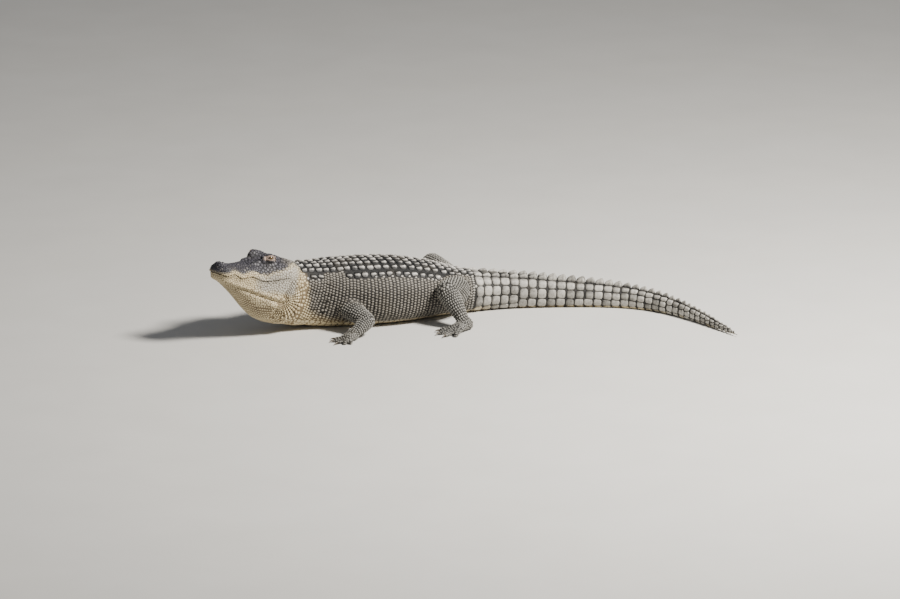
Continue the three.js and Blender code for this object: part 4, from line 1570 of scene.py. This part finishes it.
def scale_shapes(data, radius, uv, rings, fullness):
    """The points of each scale, ring by ring and then its top, how far each stands up, and its map place."""
    cos, sin = outline_turns(radius.shape[1])
    sides = len(cos)
    root, normal, along = data["root"], data["normal"], data["along"]
    across = np.cross(normal, along)
    height, keel, tilt, bend = (data[name][:, None] for name in ("height", "keel", "tilt", "bend"))
    whole = height + KEEL_SHADE * keel
    long = (radius[:, :1] + radius[:, sides // 2:sides // 2 + 1]) / 2
    layers, rises, charts = [], [], []
    for share, lift in rings:
        x, y = radius * share * cos, radius * share * sin
        flat = root[:, None] + along[:, None] * x[..., None] + across[:, None] * y[..., None]
        if rings is BIG:
            flat = skin_shape().nearest(flat.reshape(-1, 3))[0].reshape(flat.shape)
        else:
            flat = flat - normal[:, None] * ((x**2 + y**2) * bend)[..., None]
        ahead = np.clip(x / long, -1, 1)
        run = np.where(ahead < KEEL_PEAK, (ahead + 1) / (KEEL_PEAK + 1), (1 - ahead) / (1 - KEEL_PEAK))
        edge = np.clip(1 - np.abs(sin) * share / KEEL_WIDTH, 0, 1)
        crest = keel * edge * np.clip(run, 0, 1) ** fullness * (lift > 0)
        rise = height * lift * (1 + TILT * tilt * ahead) + crest - SINK * (lift == 0)
        layers.append(flat + normal[:, None] * rise[..., None])
        rises.append(np.clip(rise / whole, 0, 1))
        charts.append(uv[:, None] + PATCH / 2 * share * np.stack([cos, sin], -1))
    top = height + keel * (1 / (KEEL_PEAK + 1)) ** fullness
    layers.append((root + normal * top)[:, None])
    rises.append(np.clip(top / whole, 0, 1))
    charts.append(uv[:, None])
    points, rises, charts = (np.concatenate(parts, axis=1) for parts in (layers, rises, charts))
    points[..., 2] = np.maximum(points[..., 2], LOWEST)
    return points, rises, charts


def scale_faces(count, sides, layers):
    """The corners of all faces of the scales in one row, and each face's number of corners."""
    per = layers * sides + 1
    here = np.arange(sides)
    beside = (here + 1) % sides
    quads = np.stack([here, beside, beside + sides, here + sides], -1)
    quads = np.concatenate([quads + layer * sides for layer in range(layers - 1)])
    last = (layers - 1) * sides
    tips = np.stack([here + last, beside + last, np.full(sides, per - 1)], -1)
    corners = np.concatenate([quads.ravel(), tips.ravel(), here[::-1]])
    sizes = np.concatenate([np.full(len(quads), 4), np.full(len(tips), 3), [sides]])
    return (corners + np.arange(count)[:, None] * per).ravel(), np.tile(sizes, count)


def scale_mesh(name, rings):
    """One mesh of a group's scales, each a closed low dome on the skin."""
    data, radius, uv = all_scales()
    kept = data["group"] == GROUPS.index(name)
    data = {key: value[kept] for key, value in data.items()}
    radius = radius[kept] if rings is BIG else radius[kept, ::2]
    fullness = CREST_FULLNESS if name == "crests" else KEEL_FULLNESS
    points, rises, charts = scale_shapes(data, radius, uv[kept], rings, fullness)
    count, per, _ = points.shape
    corners, sizes = scale_faces(count, radius.shape[1], len(rings))
    mesh = bpy.data.meshes.new(name)
    mesh.vertices.add(count * per)
    mesh.vertices.foreach_set("co", placed(points).astype(np.float32).ravel())
    mesh.loops.add(len(corners))
    mesh.loops.foreach_set("vertex_index", corners.astype(np.int32))
    mesh.polygons.add(len(sizes))
    mesh.polygons.foreach_set("loop_start", (np.cumsum(sizes) - sizes).astype(np.int32))
    mesh.update(calc_edges=True)
    mesh.validate()
    chart = mesh.uv_layers.new(name="OFBake")
    chart.data.foreach_set("uv", charts.reshape(-1, 2)[corners].astype(np.float32).ravel())
    marks = markings(data["root"])
    if name == "crests":
        marks["crown"] = marks["crown"] * CREST_CROWN
    marks["chance"] = np.random.default_rng(7).uniform(0, 1, count)
    marks = {mark: np.repeat(value, per) for mark, value in marks.items()}
    # rise picks the colour: painted shade at each scale's rim, and painted light on its raised top
    set_marks(mesh, {**marks, "rise": rises.ravel()})
    return mesh


class Value:
    """A number in a shader, with the usual signs."""

    def __init__(self, shades, socket):
        self.shades = shades
        self.socket = socket

    def maths(self, operation, *values, clamp=False):
        settings = {"operation": operation, "use_clamp": clamp}
        made = self.shades.node("ShaderNodeMath", settings, dict(enumerate(values)))
        return Value(self.shades, made.outputs[0])

    def __add__(self, other):
        return self.maths("ADD", self, other)

    def __sub__(self, other):
        return self.maths("SUBTRACT", self, other)

    def __rsub__(self, other):
        return self.maths("SUBTRACT", other, self)

    def __mul__(self, other):
        return self.maths("MULTIPLY", self, other)

    def __truediv__(self, other):
        return self.maths("DIVIDE", self, other)

    def __rtruediv__(self, other):
        return self.maths("DIVIDE", other, self)

    def clamped(self):
        return self.maths("ADD", self, 0.0, clamp=True)

    def ramp(self, low, high):
        """0 below low and 1 above high."""
        return self.maths("MULTIPLY", self - low, 1 / (high - low), clamp=True)

    __radd__ = __add__
    __rmul__ = __mul__


class Shades:
    """The nodes of one material."""

    def __init__(self, name):
        self.material = bpy.data.materials.new(name)
        self.material.use_nodes = True
        self.tree = self.material.node_tree
        self.surface = self.tree.nodes["Principled BSDF"]

    def node(self, kind, settings=None, values=None):
        made = self.tree.nodes.new(kind)
        for name, value in (settings or {}).items():
            setattr(made, name, value)
        for name, value in (values or {}).items():
            self.put(made.inputs[name], value)
        return made

    def put(self, socket, value):
        if isinstance(value, (Value, bpy.types.NodeSocket)):
            self.tree.links.new(getattr(value, "socket", value), socket)
        elif hasattr(socket.default_value, "__len__") and len(value) == 3 and len(socket.default_value) == 4:
            socket.default_value = (*value, 1.0)
        else:
            socket.default_value = value

    def mark(self, name):
        return Value(self, self.node("ShaderNodeAttribute", {"attribute_name": name}).outputs["Fac"])

    def place(self):
        return self.node("ShaderNodeTexCoord").outputs["Object"]

    def noise(self, scale, detail=3.0, roughness=0.55, stretch=None):
        where = self.place()
        if stretch:
            longer = {0: where, 1: stretch}
            where = self.node("ShaderNodeVectorMath", {"operation": "MULTIPLY"}, longer).outputs[0]
        values = {"Vector": where, "Scale": scale, "Detail": detail, "Roughness": roughness}
        return Value(self, self.node("ShaderNodeTexNoise", None, values).outputs[0])

    def cells(self, scale):
        values = {"Vector": self.place(), "Scale": scale}
        made = self.node("ShaderNodeTexVoronoi", {"feature": "DISTANCE_TO_EDGE"}, values)
        return Value(self, made.outputs["Distance"])

    def mix(self, share, first, second):
        return self.node("ShaderNodeMix", {"data_type": "RGBA"}, {0: share, 6: first, 7: second}).outputs[2]

    def bump(self, height, strength, distance):
        values = {"Strength": strength, "Distance": distance, "Height": height}
        return self.node("ShaderNodeBump", None, values).outputs[0]

    def finish(self, **values):
        for name, value in values.items():
            self.put(self.surface.inputs[name.replace("_", " ")], value)
        return self.material


def hide_material():
    found = bpy.data.materials.get(HIDE)
    if found:
        return found
    colours = bpy.context.scene.alligator_colours
    shades = Shades(HIDE)
    rise, chance = shades.mark("rise"), shades.mark("chance")
    low, high = colours.flank_low, colours.flank_high
    for name in ("tail", "crown", "back", "limb", "cream", "cheek", "dusk", "lid"):
        share = shades.mark(name)
        low = shades.mix(share, low, getattr(colours, name + "_low"))
        high = shades.mix(share, high, getattr(colours, name + "_high"))
    blotch = shades.noise(26, 3)
    fine = shades.noise(330, 4, 0.6)
    wear = shades.noise(75, 5, 0.68)
    # how far a place shows the colour of the scales' tops: more where it stands up, less where it is worn. The
    # pale tops of raised places are partly painted light, and the near-black grooves between scales are partly
    # painted shade over the darker skin there
    shown = rise + (chance - 0.5) * 0.3 + (blotch - 0.5) * 0.6 + (fine - 0.5) * 0.3 + shades.mark("lid") * 0.5
    shown = ((shown - 0.14 - shades.mark("back") * 0.3) / 0.62).clamped()
    dulled = (wear - 0.46).ramp(0.0, 0.22) * 0.42 + shades.mark("tail") * (0.62 - chance).ramp(0, 0.7) * 0.4
    colour = shades.mix(shown * (1 - dulled), low, high)
    speck = (chance + (fine - 0.5) * 0.3).ramp(0.93, 0.98) * shades.mark("dusk") * rise
    colour = shades.mix(speck * 0.7, colour, colours.speck)
    colour = shades.mix((shades.noise(9, 2) - 0.5).ramp(0.0, 0.3) * 0.35, colour, colours.stain)
    # painted shade along the slit between the jaws
    colour = shades.mix(shades.mark("gap"), colour, colours.mouth)
    granule = shades.cells(230).ramp(0.0, 0.25) * (1 - rise.ramp(0.0, 0.3))
    height = granule * 0.7 + fine * 0.5 + wear * 0.9
    rough = 0.66 - rise * 0.14 + (fine - 0.5) * 0.3
    normal = shades.bump(height, 0.7, 0.0012)
    return shades.finish(Base_Color=colour, Roughness=rough.clamped(), Normal=normal)


def eye_material():
    colours = bpy.context.scene.alligator_colours
    shades = Shades("eye")
    away, slit, tall = shades.mark("away"), shades.mark("slit"), shades.mark("tall")
    # the iris is darkened with painted shade of the socket over its own colour
    streak = shades.noise(900, 4, 0.7)
    iris = shades.mix((streak - 0.5).ramp(-0.15, 0.2), colours.iris_low, colours.iris_high)
    iris = shades.mix(away.ramp(0.40, 0.62), iris, colours.iris_rim)
    half = 0.055 * (1 - (tall * tall * 5.5)).clamped() + 0.012
    pupil = 1 - (slit / half).ramp(0.85, 1.15)
    inside = 1 - away.ramp(0.44, 0.47)
    colour = shades.mix(pupil * inside, iris, colours.pupil)
    colour = shades.mix(away.ramp(0.60, 0.72), colour, colours.eye_white)
    rough = 0.08 + streak * 0.05
    return shades.finish(Base_Color=colour, Roughness=rough, Coat_Weight=1.0, Coat_Roughness=0.03)


def claw_material():
    colours = bpy.context.scene.alligator_colours
    shades = Shades("claw")
    streak = shades.noise(260, 4, 0.6, (1, 1, 0.2))
    share = (shades.mark("tip") * 0.7 + streak * 0.6).ramp(0.3, 1.0)
    colour = shades.mix(share, colours.claw_low, colours.claw_high)
    normal = shades.bump(streak, 0.4, 0.0006)
    return shades.finish(Base_Color=colour, Roughness=0.36 + streak * 0.2, Normal=normal)


def length_prop(name, millimetres, description):
    default = millimetres * MM
    return FloatProperty(name=name, description=description, default=default, min=0, precision=4, unit="LENGTH")


def colour_prop(name, value, description):
    return FloatVectorProperty(name=name, description=description, default=value, max=1, subtype="COLOR")


class AlligatorSizes(bpy.types.PropertyGroup):
    """How deep the skin lies in the solids, and the sizes of scales, eyes and claws"""
    body_coat: length_prop("Coat on the body", 3.5, "Depth of the skin in neck, trunk and tail")
    head_coat: length_prop("Coat on the head", 1, "Depth of the skin in head and jaw")
    leg_coat: length_prop("Coat on the legs", 2, "Depth of the skin in the legs")
    scute_pitch: length_prop("Scute pitch", 36, "From one row of back scutes to the next")
    scute_keel: length_prop("Scute keel", 7.5, "Height of the back scutes' keels")
    crest_rise: length_prop("Crest rise", 16, "How much the crest's tallest blade exceeds its lowest")
    flank_pitch: length_prop("Flank pitch", 15.5, "From one row of flank scales to the next")
    flank_spacing: length_prop("Flank spacing", 11.6, "Between two scales of one row on the flank")
    belly_pitch: length_prop("Belly pitch", 23, "From one row of belly scales to the next")
    belly_spacing: length_prop("Belly spacing", 20, "Between two scales of one row on the belly")
    throat_pitch: length_prop("Throat pitch", 9.5, "From one row of throat scales to the next")
    throat_spacing: length_prop("Throat spacing", 8.8, "Between two scales of one row on the throat")
    fore_upper_pitch: length_prop("Upper foreleg pitch", 12, "Between the rings of scales there")
    fore_lower_pitch: length_prop("Lower foreleg pitch", 10, "Between the rings of scales there")
    hind_upper_pitch: length_prop("Thigh pitch", 13.5, "Between the rings of scales there")
    hind_lower_pitch: length_prop("Shin pitch", 11.5, "Between the rings of scales there")
    scale_gap: length_prop("Gap", 1.3, "Left between two scales")
    head_scale_gap: length_prop("Gap on the head", 0.9, "Left between two scales of the head")
    eye_radius: length_prop("Eye radius", 16, "Radius of each eyeball")
    claw_length: length_prop("Claw length", 21, "From a toe's end to the claw's point")
    claw_radius: length_prop("Claw radius", 5.2, "Radius of a claw at its root")


class AlligatorColours(bpy.types.PropertyGroup):
    """The hide's colours: each part has one for the gaps, darkened with painted shade over the darker skin
    between scales, and one for the scales' tops, partly painted light where they stand up
    """
    flank_low: colour_prop("Flank gaps", (0.013, 0.011, 0.009), "Between the flank's scales")
    flank_high: colour_prop("Flank", (0.225, 0.206, 0.174), "The flank's scales")
    back_low: colour_prop("Back gaps", (0.006, 0.006, 0.006), "Between the back's scutes")
    # the keels' colour is paler than their own tone: partly painted light on their tops
    back_high: colour_prop("Back", (0.660, 0.630, 0.585), "The back's keels")
    tail_low: colour_prop("Tail gaps", (0.010, 0.009, 0.008), "Between the tail's scales")
    tail_high: colour_prop("Tail", (0.430, 0.412, 0.370), "The tail's scales")
    crown_low: colour_prop("Tail top gaps", (0.007, 0.007, 0.006), "Between the scales on top of the tail")
    crown_high: colour_prop("Tail top", (0.150, 0.142, 0.125), "The scales between the tail's two crests")
    limb_low: colour_prop("Leg gaps", (0.014, 0.013, 0.011), "Between the legs' scales")
    limb_high: colour_prop("Leg", (0.285, 0.275, 0.248), "The legs' scales")
    cream_low: colour_prop("Throat gaps", (0.190, 0.138, 0.074), "Between the throat's scales")
    cream_high: colour_prop("Throat", (0.630, 0.535, 0.335), "Throat, jaw edge and belly")
    cheek_low: colour_prop("Cheek gaps", (0.190, 0.162, 0.125), "Between the cheek's scales")
    cheek_high: colour_prop("Cheek", (0.480, 0.452, 0.385), "The cheek")
    dusk_low: colour_prop("Snout gaps", (0.006, 0.006, 0.008), "Between the scales of snout and crown")
    dusk_high: colour_prop("Snout", (0.044, 0.041, 0.051), "Snout and crown")
    lid_low: colour_prop("Lid folds", (0.070, 0.040, 0.030), "Folds of the lids")
    lid_high: colour_prop("Lids", (0.520, 0.390, 0.320), "The lids' rims")
    speck: colour_prop("Specks", (0.230, 0.215, 0.200), "Pale scales scattered over snout and crown")
    stain: colour_prop("Stain", (0.060, 0.048, 0.030), "Mud dried on the hide")
    # the mouth colour is painted shade in the slit between the jaws
    mouth: colour_prop("Mouth", (0.010, 0.005, 0.003), "The gap between the jaws")
    # the iris colours are partly its own olive-brown, partly painted shade of the eye's socket
    iris_low: colour_prop("Iris, dark", (0.030, 0.017, 0.006), "The iris's darker streaks")
    iris_high: colour_prop("Iris", (0.160, 0.095, 0.028), "The iris")
    iris_rim: colour_prop("Iris rim", (0.020, 0.012, 0.006), "The ring round the iris")
    pupil: colour_prop("Pupil", (0.002, 0.002, 0.002), "The upright slit of the pupil")
    eye_white: colour_prop("Eyeball", (0.060, 0.045, 0.035), "The rest of the eyeball")
    claw_low: colour_prop("Claw", (0.030, 0.024, 0.018), "The claw's root")
    claw_high: colour_prop("Claw tip", (0.160, 0.130, 0.095), "The claw's tip")


class AlligatorStage(bpy.types.PropertyGroup):
    """The camera and the light"""
    azimuth: FloatProperty(
        name="Azimuth", description="Camera's way round the animal", default=np.radians(-20), unit="ROTATION")
    elevation: FloatProperty(
        name="Elevation", description="Camera's angle above the level", default=np.radians(16), unit="ROTATION")
    lens: FloatProperty(name="Lens", description="Focal length", default=300, unit="CAMERA")
    distance: FloatProperty(name="Distance", description="From camera to hips", default=31.5, unit="LENGTH")
    key: FloatProperty(name="Key light", description="Power of the key light", default=980, unit="POWER")
    fill: FloatProperty(name="Fill", description="Strength of the light from all round", default=0.22)


def finish_piece(name, mesh, material, replaced=()):
    """Makes a piece of a mesh, with its material and its place in the frame."""
    mesh.shade_smooth()
    mesh.materials.append(material)
    piece = new_object(name, mesh)
    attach(piece, "root")
    if replaced:
        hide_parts(*replaced)


class ALLIGATOR_OT_skin(bpy.types.Operator):
    """One skin over head, neck, trunk, tail and legs"""
    bl_idname = "alligator.skin"
    bl_label = "Skin"

    def execute(self, context):
        skin_shape.cache_clear()
        all_scales.cache_clear()
        skin = skin_shape()
        mesh = skin.mesh.copy()
        set_points(mesh, placed(skin.points))
        # the skin lies in the grooves between the scales: a rise of 0 gives it the gap colours, painted shade
        # over the darker skin there
        level = np.zeros(len(skin.points))
        set_marks(mesh, {**markings(skin.points), "rise": level, "chance": level + 0.5})
        flesh = [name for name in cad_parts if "claw" not in name and "eye" not in name]
        finish_piece("skin", mesh, hide_material(), flesh)
        return {"FINISHED"}


class ScalePiece:
    """Makes one piece of scales over the skin."""
    rings = SMALL
    slot = "hide"

    def execute(self, context):
        finish_piece(self.piece, scale_mesh(self.piece, self.rings), hide_material())
        return {"FINISHED"}


class ALLIGATOR_OT_back_scutes(ScalePiece, bpy.types.Operator):
    """Keeled scutes in rows along neck and back"""
    bl_idname = "alligator.back_scutes"
    bl_label = "Back scutes"
    piece = "back_scutes"
    rings = BIG


class ALLIGATOR_OT_tail_scales(ScalePiece, bpy.types.Operator):
    """The scales of the tail's whorls"""
    bl_idname = "alligator.tail_scales"
    bl_label = "Tail scales"
    piece = "tail_scales"
    rings = BIG


class ALLIGATOR_OT_crests(ScalePiece, bpy.types.Operator):
    """The blades of the tail's two crests, and of the one behind them"""
    bl_idname = "alligator.crests"
    bl_label = "Tail crests"
    piece = "crests"
    rings = BIG


class ALLIGATOR_OT_flank_scales(ScalePiece, bpy.types.Operator):
    """Small scales in rows down the flanks"""
    bl_idname = "alligator.flank_scales"
    bl_label = "Flank scales"
    piece = "flank_scales"


class ALLIGATOR_OT_belly_scales(ScalePiece, bpy.types.Operator):
    """Square flat scales under the trunk"""
    bl_idname = "alligator.belly_scales"
    bl_label = "Belly scales"
    piece = "belly_scales"
    rings = BIG
    slot = "pale_hide"


class ALLIGATOR_OT_neck_scales(ScalePiece, bpy.types.Operator):
    """Small scales on the folds of neck and throat"""
    bl_idname = "alligator.neck_scales"
    bl_label = "Neck and throat scales"
    piece = "neck_scales"
    slot = "pale_hide"


class ALLIGATOR_OT_head_scales(ScalePiece, bpy.types.Operator):
    """Low flat scales on snout, crown and jaws"""
    bl_idname = "alligator.head_scales"
    bl_label = "Head scales"
    piece = "head_scales"
    rings = FLAT
    slot = "head_hide"


class ALLIGATOR_OT_leg_scales(ScalePiece, bpy.types.Operator):
    """Rings of scales round the legs"""
    bl_idname = "alligator.leg_scales"
    bl_label = "Leg scales"
    piece = "leg_scales"


class ALLIGATOR_OT_foot_scales(ScalePiece, bpy.types.Operator):
    """Small scales on the feet and bands over the toes"""
    bl_idname = "alligator.foot_scales"
    bl_label = "Foot scales"
    piece = "foot_scales"


class ALLIGATOR_OT_eyes(bpy.types.Operator):
    """Both eyes, with slit pupils"""
    bl_idname = "alligator.eyes"
    bl_label = "Eyes"

    def execute(self, context):
        paint = eye_material()
        around = np.linspace(0, 2 * np.pi, EYE_SIDES, endpoint=False)
        down = np.radians(np.concatenate([[0.6], np.arange(3, 178, 3)]))[:, None]
        ball = [np.cos(down) + 0 * around, np.sin(down) * np.cos(around), np.sin(down) * np.sin(around)]
        bulge = 1 + CORNEA * between(0.75, 0.2, down)
        points, faces = loft(np.stack(ball, -1) * bulge[..., None])
        away = np.arccos(np.clip(unit(points)[:, 0], -1, 1))
        for side, name in ((1, "left"), (-1, "right")):
            centre, *axes = eye_frame(side)
            mesh = bpy.data.meshes.new(f"{name}_eye")
            world = centre + (size("eye_radius") - EYE_SETBACK) * (points @ np.stack(axes))
            mesh.from_pydata(placed(world).tolist(), [], faces)
            set_marks(mesh, {"away": away, "slit": np.abs(points[:, 1]), "tall": points[:, 2]})
            finish_piece(f"{name}_eye", mesh, paint, [f"eye_{name}"])
        return {"FINISHED"}


def claw_form(leg, k):
    """A claw, thinner and lower towards its point."""
    toe = FEET[leg["kind"]]["toe"]
    knuckle, along, reach = toe_line(leg, k)
    across = np.array([-along[1], along[0], 0])
    a = np.linspace(0, 2 * np.pi, CLAW_SIDES, endpoint=False)
    rings = []
    for share in CLAW_STATIONS:
        radius = size("claw_radius") * (0.95 * (1 - share) ** 0.7 + 0.06)
        middle = knuckle + along * (reach - CLAW_BED + (size("claw_length") + CLAW_BED) * share)
        lift = toe * 0.85 + 3.2 * np.sin(np.pi * share * 0.75) - 6.4 * share**2
        ring = middle + np.outer(np.cos(a) * radius * 0.78, across)
        ring[:, 2] = np.maximum(lift + np.sin(a) * radius, CLAW_FLOOR)
        rings.append(ring)
    return loft(np.array(rings))


class ALLIGATOR_OT_claws(bpy.types.Operator):
    """The claws of the three inner toes of each foot"""
    bl_idname = "alligator.claws"
    bl_label = "Claws"

    def execute(self, context):
        claws = [claw_form(leg, k) for leg in LEGS for k in range(FEET[leg["kind"]]["claws"])]
        points, faces = joined(claws)
        mesh = bpy.data.meshes.new("claws")
        mesh.from_pydata(placed(points).tolist(), [], faces)
        tip = np.concatenate([np.repeat(CLAW_STATIONS, CLAW_SIDES), [0, 1]])
        set_marks(mesh, {"tip": np.tile(tip, len(claws))})
        nodes = [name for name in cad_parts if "claw" in name]
        finish_piece("claws", mesh, claw_material(), nodes)
        return {"FINISHED"}


def aimed(name, data, place, direction):
    """A lamp or camera at a place, looking in a direction."""
    made = new_object(name, data)
    made.location = Vector(place)
    made.rotation_mode = "QUATERNION"
    made.rotation_quaternion = Vector(direction).to_track_quat("-Z", "Y")
    return made


class ALLIGATOR_OT_stage(bpy.types.Operator):
    """Floor, lights and camera"""
    bl_idname = "alligator.stage"
    bl_label = "Stage"

    def execute(self, context):
        scene = context.scene
        props = scene.alligator_stage
        a, e = props.azimuth, props.elevation
        right = np.array([np.cos(a), np.sin(a), 0])
        up = np.array([-np.sin(a) * np.sin(e), np.cos(a) * np.sin(e), np.cos(e)])
        back = np.cross(right, up)
        target = placed(np.array([HIPS, 0, 0])) + up * AIM_ABOVE_HIPS
        lens = bpy.data.cameras.new("camera")
        lens.lens = props.lens
        lens.clip_end = 400
        scene.camera = aimed("camera", lens, target + back * props.distance, -back)

        corners = FLOOR_HALF * np.array([[-1, -1, 0], [1, -1, 0], [1, 1, 0], [-1, 1, 0.0]])
        floor = mesh_object("floor", corners, [(0, 1, 2, 3)])
        shades = Shades("floor")
        tint = shades.mix(shades.noise(3, 2), (0.56, 0.55, 0.52), (0.62, 0.61, 0.58))
        floor.data.materials.append(shades.finish(Base_Color=tint, Roughness=0.9))

        scene.world = bpy.data.worlds.new("studio")
        scene.world.use_nodes = True
        light = scene.world.node_tree.nodes["Background"].inputs
        light["Color"].default_value = (0.9, 0.93, 1, 1)
        light["Strength"].default_value = props.fill
        key = bpy.data.lights.new("key", "AREA")
        key.energy = props.key
        key.size = 1.2
        key.color = (1, 0.96, 0.9)
        towards = unit(right + 0.5 * unit(back * [1, 1, 0]) + np.array([0, 0, 1.35]))
        aimed("key", key, towards * KEY_DISTANCE, -towards)
        return {"FINISHED"}


OPERATORS = (
    ALLIGATOR_OT_skin,
    ALLIGATOR_OT_back_scutes,
    ALLIGATOR_OT_tail_scales,
    ALLIGATOR_OT_crests,
    ALLIGATOR_OT_flank_scales,
    ALLIGATOR_OT_belly_scales,
    ALLIGATOR_OT_neck_scales,
    ALLIGATOR_OT_head_scales,
    ALLIGATOR_OT_leg_scales,
    ALLIGATOR_OT_foot_scales,
    ALLIGATOR_OT_eyes,
    ALLIGATOR_OT_claws,
    ALLIGATOR_OT_stage,
)
GROUPS_OF_PROPS = {
    "alligator_sizes": AlligatorSizes,
    "alligator_colours": AlligatorColours,
    "alligator_stage": AlligatorStage,
}


class ALLIGATOR_PT_build(bpy.types.Panel):
    """The steps that build the animal"""
    bl_idname = "ALLIGATOR_PT_build"
    bl_label = "Alligator"
    bl_space_type = "VIEW_3D"
    bl_region_type = "UI"
    bl_category = "Alligator"

    def draw(self, context):
        for operator in OPERATORS:
            self.layout.operator(operator.bl_idname)
        for name, group in GROUPS_OF_PROPS.items():
            for prop in group.__annotations__:
                self.layout.prop(getattr(context.scene, name), prop)


CLASSES = (*GROUPS_OF_PROPS.values(), *OPERATORS, ALLIGATOR_PT_build)


def register():
    for cls in CLASSES:
        bpy.utils.register_class(cls)
    for name, group in GROUPS_OF_PROPS.items():
        setattr(bpy.types.Scene, name, PointerProperty(type=group))


def unregister():
    for name in GROUPS_OF_PROPS:
        delattr(bpy.types.Scene, name)
    for cls in reversed(CLASSES):
        bpy.utils.unregister_class(cls)


def main():
    register()
    bpy.ops.alligator.skin()
    bpy.ops.alligator.back_scutes()
    bpy.ops.alligator.tail_scales()
    bpy.ops.alligator.crests()
    bpy.ops.alligator.flank_scales()
    bpy.ops.alligator.belly_scales()
    bpy.ops.alligator.neck_scales()
    bpy.ops.alligator.head_scales()
    bpy.ops.alligator.leg_scales()
    bpy.ops.alligator.foot_scales()
    bpy.ops.alligator.eyes()
    bpy.ops.alligator.claws()
    bpy.ops.alligator.stage()


if __name__ == "__main__":
    main()
